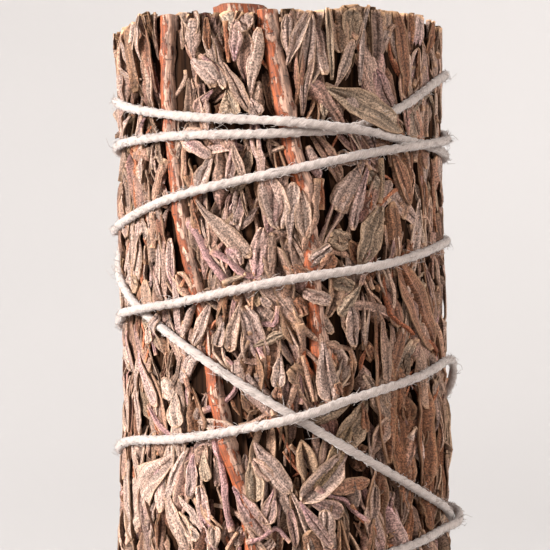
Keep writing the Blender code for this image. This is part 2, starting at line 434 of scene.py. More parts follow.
def drawn_out(tree, blade, *grains):
    """Grain that is drawn out along the blade: its stretch across, along and deep, and its detail."""
    made = []
    for stretch, *detail in grains:
        placed = add_node(tree, "ShaderNodeVectorMath", {"operation": "MULTIPLY"}, {0: blade, 1: stretch})
        looks = dict(zip(("Detail", "Roughness"), detail))
        made.append(add_node(tree, "ShaderNodeTexNoise", inputs={"Vector": placed, "Scale": 1.0, **looks}))
    return made


def worked_by(tree, colour, *patterns):
    """The colour with patterns on it. From start to end of its pattern, it is scaled from low to high."""
    for pattern, start, end, low, high in patterns:
        depth = add_node(
            tree, "ShaderNodeMapRange",
            inputs={"Value": pattern, "From Min": start, "From Max": end, "To Min": low, "To Max": high},
        )
        colour = add_node(tree, "ShaderNodeVectorMath", {"operation": "SCALE"}, {0: colour, "Scale": depth})
    return colour


def finish_surface(tree, shader, colour, *reliefs):
    """Gives the shader its colour and its relief: patterns with a strength and a height in millimetres."""
    tree.links.new(colour, shader.inputs["Base Color"])
    surface = {}
    for pattern, strength, height in reliefs:
        relief = {"Strength": strength, "Distance": height * MM, "Height": pattern, **surface}
        surface = {"Normal": add_node(tree, "ShaderNodeBump", inputs=relief)}
    if surface:
        tree.links.new(surface["Normal"].outputs[0], shader.inputs["Normal"])


def dried_felt(name, leaves, base, aged):
    """Dried sage: cellulose under a felt of short hairs. Matt and mealy, with ribs along the blade or
    stalk, a pale edge that is partly worn and partly a painted highlight, and a little sheen from the
    hairs."""
    made, tree, shader = new_material(name, 0.88, ior=1.4, sheen=0.25)
    blade, tone = read_marks(tree)
    shares = add_node(tree, "ShaderNodeSeparateColor", inputs={0: tone})
    parts = add_node(tree, "ShaderNodeSeparateXYZ", inputs={0: blade})
    across, dark = parts.outputs["X"], parts.outputs["Z"]
    where = add_node(tree, "ShaderNodeTexCoord").outputs["Object"]
    # Ribs run along the blade 0.4 mm apart. The felt is tufted 0.2 mm apart, drawn a few times coarser than
    # the real hairs. The blade wrinkled as it dried, across its length and about 0.5 mm apart.
    ribs, felt, wrinkles = drawn_out(
        tree, blade, ((2.4, 0.16, 0.0), 3.0), ((5.8, 4.4, 0.0), 2.0), ((1.3, 1.8, 0.0), 2.0)
    )
    # The midrib is a groove, 0.1 mm wide at its floor and 0.3 mm at its edges.
    aside = add_node(tree, "ShaderNodeMath", {"operation": "ABSOLUTE"}, {0: across})
    midrib = add_node(
        tree, "ShaderNodeMapRange", inputs={"Value": aside, "From Min": 0.05, "From Max": 0.16}
    )
    # Brown blotches run over 3 mm, and the painted shade browns the leaves as it darkens them, so the deep
    # leaves are browner.
    blotch = add_node(
        tree, "ShaderNodeTexNoise", inputs={"Vector": where, "Scale": 1 / (3 * MM), "Detail": 3.0}
    )
    uneven = add_node(
        tree, "ShaderNodeMath", {"operation": "MULTIPLY_ADD", "use_clamp": True},
        {0: blotch, 1: 0.9, 2: -0.45},
    )
    blotch_and_shade_brown = add_node(
        tree, "ShaderNodeMath", {"operation": "MULTIPLY_ADD"}, {0: dark, 1: 0.9, 2: uneven}
    )
    brown_and_shade_share = add_node(
        tree, "ShaderNodeMath", {"use_clamp": True}, {0: shares.outputs["Red"], 1: blotch_and_shade_brown}
    )
    colour = base
    for share, tint in (
        (brown_and_shade_share, aged), (shares.outputs["Green"], leaves.olive), (shares.outputs["Blue"], leaves.purple),
    ):
        mix = add_node(tree, "ShaderNodeMix", {"data_type": "RGBA"}, {0: share, 6: colour, 7: tint})
        colour = mix.outputs[2]
    # The ribs and wrinkles are painted lighter on their rises and darker in their hollows, and the midrib
    # groove is darker: painted light and shade that follow the relief.
    colour = worked_by(
        tree, colour,
        (ribs, 0.4, 0.6, 0.66, 1.28),
        (felt, 0.37, 0.63, 0.42, 1.55),
        (wrinkles, 0.37, 0.63, 0.84, 1.16),
        (midrib, 0.0, 1.0, 0.65, 1.0),
    )
    colour = add_node(
        tree, "ShaderNodeMix", {"data_type": "RGBA"}, {0: tone.outputs["Alpha"], 6: colour, 7: leaves.pale}
    ).outputs[2]
    light = add_node(tree, "ShaderNodeMath", {"operation": "SUBTRACT"}, {0: 1.0, 1: dark})
    colour = add_node(
        tree, "ShaderNodeVectorMath", {"operation": "SCALE"}, {0: colour, "Scale": light}
    ).outputs[0]
    # Where shade is painted, the sheen takes the painted colour and the gloss is dimmed, so the painted shade
    # stays dark.
    tree.links.new(colour, shader.inputs["Sheen Tint"])
    gloss = add_node(tree, "ShaderNodeMath", {"operation": "MULTIPLY", "use_clamp": True}, {0: light, 1: 0.5})
    tree.links.new(gloss.outputs[0], shader.inputs["Specular IOR Level"])
    finish_surface(
        tree, shader, colour, (wrinkles, 1.0, 0.2), (ribs, 1.0, 0.15), (midrib, 1.0, 0.08), (felt, 1.0, 0.05)
    )
    return made


def peeling_bark(stems):
    """Bark of a woody sage stem: a grey outer layer that flakes off smooth red inner bark."""
    made, tree, shader = new_material("peeling_bark", 0.72)
    blade, tone = read_marks(tree)
    red = add_node(tree, "ShaderNodeSeparateColor", inputs={0: tone}).outputs["Red"]
    from_pith = add_node(tree, "ShaderNodeSeparateXYZ", inputs={0: blade}).outputs["Z"]
    where = add_node(tree, "ShaderNodeTexCoord").outputs["Object"]
    # Flakes are about 0.8 mm wide and 2 mm long, fibres run along the stem 0.25 mm apart, and cracks run
    # round it about 1 mm apart.
    flakes, fibres, cracks = drawn_out(
        tree, blade, ((1.3, 0.45, 1.0), 4.0, 0.65), ((4.0, 0.5, 1.0), 3.0), ((1.1, 2.6, 1.0), 2.0)
    )
    # The red share of the stem moves the level at which the outer bark is gone.
    level = add_node(tree, "ShaderNodeMath", {"operation": "SUBTRACT"}, {0: flakes, 1: red})
    kept = add_node(
        tree, "ShaderNodeMapRange", inputs={"Value": level, "From Min": -0.03, "From Max": 0.03}
    )
    colour = add_node(
        tree, "ShaderNodeMix", {"data_type": "RGBA"}, {0: kept, 6: stems.red, 7: stems.bark}
    ).outputs[2]
    colour = worked_by(
        tree, colour,
        (fibres, 0.38, 0.62, 0.5, 1.4), (flakes, 0.35, 0.65, 0.65, 1.35), (cracks, 0.66, 0.61, 0.35, 1.0),
    )
    # In a sawn end, growth rings lie about 0.4 mm apart round a darker pith, under the saw's marks.
    saw = add_node(
        tree, "ShaderNodeTexNoise", inputs={"Vector": where, "Scale": 1 / (0.5 * MM), "Detail": 3.0}
    )
    bent = add_node(tree, "ShaderNodeMath", {"operation": "MULTIPLY_ADD"}, {0: saw, 1: 0.35, 2: from_pith})
    year = add_node(tree, "ShaderNodeMath", {"operation": "MULTIPLY"}, {0: bent, 1: 2 * math.pi / 0.4})
    ring = add_node(tree, "ShaderNodeMath", {"operation": "SINE"}, {0: year})
    wood = worked_by(
        tree, stems.wood[:3],
        (ring, -1.0, 1.0, 0.78, 1.08), (saw, 0.35, 0.65, 0.75, 1.15), (bent, 0.3, 0.55, 0.4, 1.0),
    )
    colour = add_node(
        tree, "ShaderNodeMix", {"data_type": "RGBA"}, {0: tone.outputs["Alpha"], 6: colour, 7: wood}
    ).outputs[2]
    finish_surface(tree, shader, colour, (kept, 1.0, 0.22), (fibres, 0.8, 0.12))
    return made


def spun_cotton(string):
    """Undyed cotton spun soft and plied in two: matt, white, with fine fibres along each ply and sheen."""
    made, tree, shader = new_material("spun_cotton", 0.92, sheen=0.35)
    # Fibres lie 0.12 mm apart, drawn a few times coarser than real ones so that they show.
    blade = add_node(tree, "ShaderNodeAttribute", {"attribute_name": "blade"}).outputs["Vector"]
    (fibres,) = drawn_out(tree, blade, ((8.0, 1.6, 1.0), 3.0))
    colour = worked_by(tree, string.colour[:3], (fibres, 0.35, 0.65, 0.72, 1.1))
    finish_surface(tree, shader, colour.outputs[0], (fibres, 0.9, 0.12))
    return made


def seamless_paper(stage):
    """Matt backdrop paper, with a faint unevenness."""
    made, tree, shader = new_material("seamless_paper", 0.95)
    where = add_node(tree, "ShaderNodeTexCoord").outputs["Object"]
    cloud = add_node(tree, "ShaderNodeTexNoise", inputs={"Vector": where, "Scale": 3.0, "Detail": 1.0})
    colour = worked_by(tree, stage.paper[:3], (cloud, 0.3, 0.7, 0.97, 1.0))
    finish_surface(tree, shader, colour.outputs[0])
    return made


# ---------------------------------------------------------------------------------------------------------
# Leaves


class LeafKind(NamedTuple):
    """Where a leaf is widest, how wide its ends are and how blunt its tip is, and how it folded, rolled and
    bent as it dried. A leaf gets a random share of each fold, roll, twist, bend and curl."""

    peak: float
    foot: float
    tip: float
    blunt: float
    fold: float
    roll: float
    ripple: float
    twist: float
    bend: float
    curl: float


KINDS = {
    "spoon": LeafKind(0.74, 0.17, 0.25, 3.2, 0.35, 1.2, 0.05, 0.3, 0.35, 0.45),
    "blade": LeafKind(0.5, 0.28, 0.22, 2.4, 0.6, 1.4, 0.07, 0.4, 0.35, 0.4),
    "kite": LeafKind(0.5, 0.15, 0.12, 1.4, 0.5, 0.5, 0.05, 0.3, 0.9, 0.4),
    "fan": LeafKind(0.7, 0.14, 0.6, 3.0, 0.2, 0.5, 0.03, 0.2, 0.3, 0.4),
    "creased": LeafKind(0.55, 0.22, 0.22, 2.2, 1.5, 0.7, 0.05, 0.5, 0.4, 0.5),
    "rolled": LeafKind(0.5, 0.42, 0.35, 3.0, 0.3, 3.4, 0.05, 0.8, 0.6, 0.5),
    "curled": LeafKind(0.6, 0.3, 0.3, 3.0, 0.5, 1.4, 0.06, 0.8, 0.9, 3.0),
    "torn": LeafKind(0.5, 0.7, 0.6, 3.0, 0.7, 1.2, 0.1, 0.9, 0.5, 1.0),
    "strip": LeafKind(0.5, 0.5, 0.4, 2.5, 0.5, 2.2, 0.08, 2.6, 1.1, 0.9),
}
# Points across the upper side of a leaf, and which of them its underside repeats.
ACROSS = np.array([-1, -0.86, -0.6, -0.3, 0, 0.3, 0.6, 0.86, 1])
UNDER = [8, 6, 4, 2, 0]


class Leaf(NamedTuple):
    """A leaf's middle surface in its own plane: places, the way its upper side looks, and where on the
    blade each point is. Places and looks are across the bundle, up it and out of it."""

    places: np.ndarray
    looks: np.ndarray
    across: np.ndarray
    along: np.ndarray
    ridges: np.ndarray


def leaf_rows(rows):
    """How far along a leaf its rows lie, closer together towards its ends."""
    even = np.linspace(0, 1, rows)
    return 0.7 * even + 0.3 * smooth(even)


def shape_leaf(length, width, kind, tilt, rng, rows=11, start=0.0, stop=1.0, wild=1.0):
    """A leaf from its foot, up along its tilt from the vertical. start and stop cut its ends off."""
    shape = KINDS[kind]
    share = {
        key: getattr(shape, key) * rng.uniform(-1, 1) * wild for key in ("fold", "twist", "bend", "curl")
    }
    roll = shape.roll * rng.uniform(0.4, 1.0) * rng.choice((-1, 1, 1)) * (wild if shape.roll < 2 else 1)
    s = start + (stop - start) * leaf_rows(rows)
    widen = shape.foot + (1 - shape.foot) * smooth(s / shape.peak)
    past = np.clip((s - shape.peak) / (1 - shape.peak), 0, 1)
    half = width / 2 * widen * np.sqrt(1 - past**shape.blunt * (1 - shape.tip**2))
    half = half * (1 + 0.06 * waver(s, rng, 4, 0.6)) * np.sqrt(np.clip(s / 0.05, 0.25, 1))
    uneven = 0.09 * half * waver(s, rng, 3, 0.7)

    heading = tilt + share["bend"] * (s - 0.5) + 0.06 * waver(s, rng, 3, 0.7)
    pitch = share["curl"] * np.abs(s - 0.45) ** 1.5 * np.sign(s - 0.45) * 1.6 + 0.14 * waver(s, rng, 3, 0.6)
    ahead = np.stack(
        [np.sin(heading) * np.cos(pitch), np.cos(heading) * np.cos(pitch), np.sin(pitch)], -1
    )
    steps = np.diff(s, prepend=s[0])[:, None] * length * ahead
    line = np.cumsum(steps, axis=0)
    side = np.stack([np.cos(heading), -np.sin(heading), np.zeros(rows)], -1)
    up = np.cross(side, ahead)
    turn = share["twist"] * (s - 0.5)
    side, up = (
        side * np.cos(turn)[:, None] + up * np.sin(turn)[:, None],
        up * np.cos(turn)[:, None] - side * np.sin(turn)[:, None],
    )

    t = ACROSS[None]
    rolled = (roll * (0.7 + 0.6 * smooth(s)))[:, None]
    x = half[:, None] * np.sin(rolled * t) / rolled + uneven[:, None]
    n = half[:, None] * (1 - np.cos(rolled * t)) / rolled
    n = n + share["fold"] * half[:, None] * (np.abs(t) - 0.4)
    ridges = np.sin(math.pi * (2.6 * t + rng.random() * 2) + 3 * waver(s, rng, 2, 1.5)[:, None])
    n = n + shape.ripple * width * ridges * (1 - 0.6 * t * t)
    n = n + 0.05 * width * t**4 * waver(s, rng, 4, 0.5)[:, None]
    n = n - 0.05 * width * np.exp(-((t / 0.16) ** 2))
    places = line[:, None] + x[..., None] * side[:, None] + n[..., None] * up[:, None]
    slope = np.gradient(n, axis=1) / (np.gradient(x, axis=1) + 1e-7)
    looks = up[:, None] - slope[..., None] * side[:, None]
    looks = looks / np.linalg.norm(looks, axis=-1, keepdims=True)
    along = np.broadcast_to((s * length)[:, None], x.shape)
    return Leaf(places, looks, half[:, None] * t, along, ridges - 1.2 * np.exp(-((t / 0.2) ** 2)))


def place_leaf(leaf, degrees, height):
    """Angles, distances out from the foot, and heights of the leaf's middle points."""
    east, up, out = np.moveaxis(leaf.places, -1, 0)
    return degrees + np.degrees(east / STRING_LIES_AT), out, height + up


def thicken(leaf, angles, radii, heights, thickness):
    """Closed rings for a leaf whose middle lies at these places."""
    middle = around(angles, radii, heights)
    turn = np.radians(angles)
    east = np.stack([np.cos(turn), np.sin(turn), 0 * turn], -1)
    out = np.stack([np.sin(turn), -np.cos(turn), 0 * turn], -1)
    looks = leaf.looks[..., :1] * east + leaf.looks[..., 2:] * out
    looks[..., 2] += leaf.looks[..., 1]
    edge = 1 - 0.5 * np.abs(ACROSS)[None, :, None] ** 6
    offset = looks * edge * thickness / 2
    return np.concatenate([middle + offset, (middle - offset)[:, UNDER]], axis=1)


def leaf_marks(leaf, tone, flush, cut_foot, cut_tip, seed, shade):
    """The blade coordinates and tones of a thickened leaf. The edges and cut ends are pale."""
    whole = np.ones((len(leaf.across), len(ACROSS) + len(UNDER)))
    both = [*range(len(ACROSS)), *UNDER]
    # Half of the leaves show their midrib as a line. A leaf's underside has a pattern of its own.
    across = leaf.across[:, both] / MM + 9 * (seed % 2)
    along = leaf.along[:, both] / MM + 20 * seed
    along[:, len(ACROSS) :] += 9
    # The rises of the ridges are painted lighter, the hollows and the midrib darker, and the underside darker
    # still: painted light and shade on the blade.
    shades = (shade - 0.06 * leaf.ridges)[:, both]
    shades[:, len(ACROSS) :] += 0.1
    shades = np.minimum(shades, 0.85)
    blade = np.stack([across, along, shades], -1)
    # The pale margin is partly a worn edge and partly a painted highlight along the rim.
    pale = whole * np.abs(ACROSS[both]) ** 9 * 0.3
    pale[0] = max(0.2, cut_foot)
    pale[-1] = max(0.4, cut_tip)
    brown, olive, purple = tone
    return blade, np.stack([brown * whole, olive * whole, np.clip(purple * flush[:, both], 0, 1), pale], -1)


# The brown, olive and purple share of each kind of leaf. On a stalk brown is red.
TONES = {
    "grey": (0.05, 0.0, 0.08),
    "tan": (0.25, 0.1, 0.05),
    "pale": (0.0, 0.1, 0.0),
    "brown": (0.75, 0.0, 0.0),
    "olive": (0.15, 0.42, 0.0),
    "purple": (0.15, 0.0, 0.6),
    "rust": (0.8, 0.0, 0.0),
    "red": (0.8, 0.1, 0.0),
}
# The front, where single leaves lie on top of the others: how many degrees to each side it reaches, and
# from how many millimetres up.
FRONT_REACHES = 78
FRONT_STARTS = 36
# Rows of the rough leaf that shows where the saw cuts it.
TRIAL_ROWS = 25
# How many degrees one millimetre is, round the bundle.
DEGREES_PER_MM = 2.85
# Most leaves and stalks lean a few degrees to the left.
LEAN = -8


class LeafLayer:
    """Lays leaves on the bundle one after another, each on those under it and few above the string."""

    # A leaf isn't laid where more than this share of it would hide what stays bare, or where it would have
    # to be pressed in further than this.
    MOST_HIDDEN = 0.06
    MOST_PRESSED = 0.17 * MM
    # Room at the front for the leaves that lie on top.
    FRONT_ROOM = 0.5 * MM
    # The least share of a leaf that is laid after the saw cut it.
    LEAST_KEPT = 0.25

    def __init__(self, leaves, string, line, rng):
        self.leaves, self.string, self.line, self.rng = leaves, string, line, rng
        self.heap = Heap(leaves.floor)
        self.growths, self.twigs = {}, {}

    def growth_at(self, growths, degrees, height):
        """The growth of the outer sprig that these places belong to."""
        at_top = degrees - TWIST * (1 - height / LENGTH)
        number = int(round((at_top - OUTER_FIRST) / OUTER_STEP)) % OUTER_COUNT + 1
        return growths.setdefault(f"outer_sprig_{number:02}", Growth())

    def hold_down(self, angles, radii, heights, over=0.0, spare=0.0):
        """The radii, pressed in where they would reach too far out or into the string. over is how far a
        surface lies outside them, and spare is left free under the reach."""
        reach = self.leaves.reach + swell(angles, heights) - spare
        limit = self.line.limit(angles, heights, reach, self.string.radius) - over
        soft = 0.12 * MM
        return limit - soft * np.logaddexp(0, (limit - radii) / soft)

    def cut_to_ends(self, length, width, kind, tilt, degrees, height, seed, rows, wild):
        """The leaf, sawn off where it would pass the bundle's ends, the place of its foot, and which of
        its ends are cuts."""
        whole = shape_leaf(length, width, kind, tilt, np.random.default_rng(seed), TRIAL_ROWS, wild=wild)
        middle = whole.places[:, len(ACROSS) // 2]
        along, line = leaf_rows(TRIAL_ROWS), height + middle[:, 1]
        top = rim(degrees) - 0.1 * MM + 0.12 * MM * math.sin(degrees * 0.4 + seed)
        rising = line[-1] > line[0]
        ends = np.interp((0.15 * MM, top), line if rising else line[::-1], along if rising else along[::-1])
        start, stop = sorted(np.clip(ends, 0, 1))
        if stop - start < self.LEAST_KEPT:
            return None
        leaf = shape_leaf(length, width, kind, tilt, np.random.default_rng(seed), rows, start, stop, wild)
        east, north = (np.interp(start, along, middle[:, k]) for k in (0, 1))
        foot = degrees + math.degrees(east / STRING_LIES_AT), height + north
        return leaf, foot, top, start > 0.001, stop < 0.999

    def lay(self, degrees, height, length, width, kind, tilt, tone, shade=None, wild=1.0, rows=11, nestle=85,
            tuck=0.0, free=False, over=False):
        """Lays a leaf with its foot at this angle and height, and tells whether there was room for it.

        nestle percent of it lie clear of what is under it, and its foot is pushed in by tuck. A free leaf
        is laid even where there is no room for it. over lays a leaf over the string.
        """
        seed = int(self.rng.integers(1 << 30))
        cut = self.cut_to_ends(length, width, kind, tilt, degrees, height, seed, rows, wild)
        if cut is None:
            return False
        leaf, (degrees, height), top, cut_foot, cut_tip = cut
        thickness = self.leaves.thickness * min(1.0, 0.5 + width / (4 * MM))
        angles, radii, heights = place_leaf(leaf, degrees, height)
        if cut_foot or cut_tip:
            heights = np.clip(heights, 0.1 * MM, top)
        cells = self.heap.cells(angles, heights)
        if not free and np.mean(self.heap.clear[cells]) > self.MOST_HIDDEN:
            return False
        seat = np.percentile(self.heap.reach[cells] - radii, nestle) + thickness * 0.5
        radii = seat + radii
        if over:
            crest = self.line.crest(angles, heights, self.string.radius) + thickness / 2
            radii = crest + 0.1 * MM * np.logaddexp(0, (radii - crest) / (0.1 * MM))
        else:
            front = smooth((FRONT_REACHES - abs(degrees)) / 12) * smooth((height / MM - FRONT_STARTS) / 4)
            pressed = self.hold_down(angles, radii, heights, spare=0 if free else self.FRONT_ROOM * front)
            if not free and np.mean(radii - pressed) > self.MOST_PRESSED:
                return False
            radii = pressed - tuck * np.clip(1 - leaf.along / (0.35 * length), 0, 1) ** 2
        rings = thicken(leaf, angles, radii, heights, thickness)
        rings[..., 2] = np.clip(rings[..., 2], 0.02 * MM, rim(degrees) + 0.1 * MM)
        # Leaves are painted darker the deeper they lie: painted shade in the crevices between them.
        depth = np.clip((self.leaves.reach + swell(angles, heights) - 0.6 * MM - radii) / (1.2 * MM), 0, 1)
        shade = 0.52 * depth + (self.rng.normal(0, 0.19) if shade is None else shade)
        flush = np.exp(-(((leaf.along / length) / 0.35) ** 2)) + 0.25
        blade, marks = leaf_marks(leaf, tone, flush, 1.0 * cut_foot, 1.0 * cut_tip, seed % 977, shade)
        self.growth_at(self.growths, float(np.mean(angles)), float(np.mean(heights))).add(rings, blade, marks)
        fine = np.ix_(*[np.linspace(0, n - 1, 3 * n).round().astype(int) for n in radii.shape])
        self.heap.cover(angles[fine], heights[fine], radii[fine] + thickness / 2)
        return True

    def lay_twig(self, points, thickness, tone, sides=8, tip=0.6):
        """Lays a twig or leaf stalk through these angles, heights and distances above the leaves."""
        points = np.array(points, float)
        steps = np.hypot(np.diff(points[:, 0]) / DEGREES_PER_MM, np.diff(points[:, 1]))
        run = np.concatenate([[0], np.cumsum(steps)])
        along = np.linspace(0, run[-1], max(5, int(run[-1] / 0.6)))
        angles, heights, above = (smooth_through(run, points[:, k], along) for k in range(3))
        heights = np.clip(heights * MM, 0.3 * MM, LENGTH - 0.3 * MM)
        under = np.pad(self.heap.reach[self.heap.cells(angles, heights)], 2, mode="edge")
        radii = np.convolve(under, np.ones(5) / 5, mode="valid") + thickness * 0.35 + above * MM
        radii = self.hold_down(angles, radii, heights, over=0.4 * thickness)
        path = around(angles, radii, heights)
        rng = self.rng
        taper = np.interp(along, (0, run[-1]), (1, tip)) * (1 + 0.12 * waver(along, rng, 3, 4.0))
        turn = full_turn(sides)
        rough = 1 + 0.12 * np.sin(2 * turn + rng.random() * 6) + rng.normal(0, 0.04, (len(path), sides))
        rings = tube_rings(path, thickness / 2 * taper, sides, rough)
        across = np.broadcast_to(turn * thickness / 2 / MM, rings.shape[:2]) + rng.uniform(9, 6000)
        blade = np.stack([across, np.broadcast_to(along[:, None], across.shape), 0 * across], -1)
        ends = np.zeros(across.shape)
        ends[[0, -1]] = 0.45
        tone = np.stack([*(0 * ends + share for share in tone), ends], -1)
        self.growth_at(self.twigs, float(np.mean(angles)), float(np.mean(heights))).add(rings, blade, tone)
        self.heap.cover(angles, heights, radii + thickness / 2)


# The outer sprigs: their number, and the first one's angle in the top saw cut and the step from one to
# the next, in degrees.
OUTER_COUNT = 18
OUTER_FIRST = -45
OUTER_STEP = 20

BARE_STEMS_LIE_AT = 18.75 * MM
# Bare stems on the outside: the sprig that each belongs to, how much of its outer bark is gone, the
# stretches of height in millimetres where no leaf covers it, and the heights and angles that it passes.
BARE_STEMS = (
    (1, 0.54, ((87, 101), (70, 84.5), (56, 60), (44, 52)), (
        (100.4, -44), (92, -43.5), (86, -41), (82, -39.5), (77, -37.5), (70, -32), (62.5, -25), (58, -24),
        (55, -21.5), (51.5, -19), (46.5, -13), (38, -9), (30, -6),
    )),
    (3, 0.50, ((90, 101), (80, 88), (63, 70)), (
        (100.2, -5.5), (97.5, -4.5), (94.5, -2.5), (92, -1), (88.5, 1), (84, 3.5), (80, 7), (76, 8),
        (66, 11), (58, 15),
    )),
    (7, 0.48, ((10, 60),), ((98.5, 77), (50, 100), (3, 125))),
    (10, 0.50, ((30, 100),), ((100, 136), (55, 159), (12, 180))),
    (13, 0.52, ((5, 40), (60, 98)), ((99, 195), (50, 221), (2, 243))),
    (16, 0.50, ((20, 70), (80, 101)), ((100.3, 255), (55, 277), (8, 301))),
)

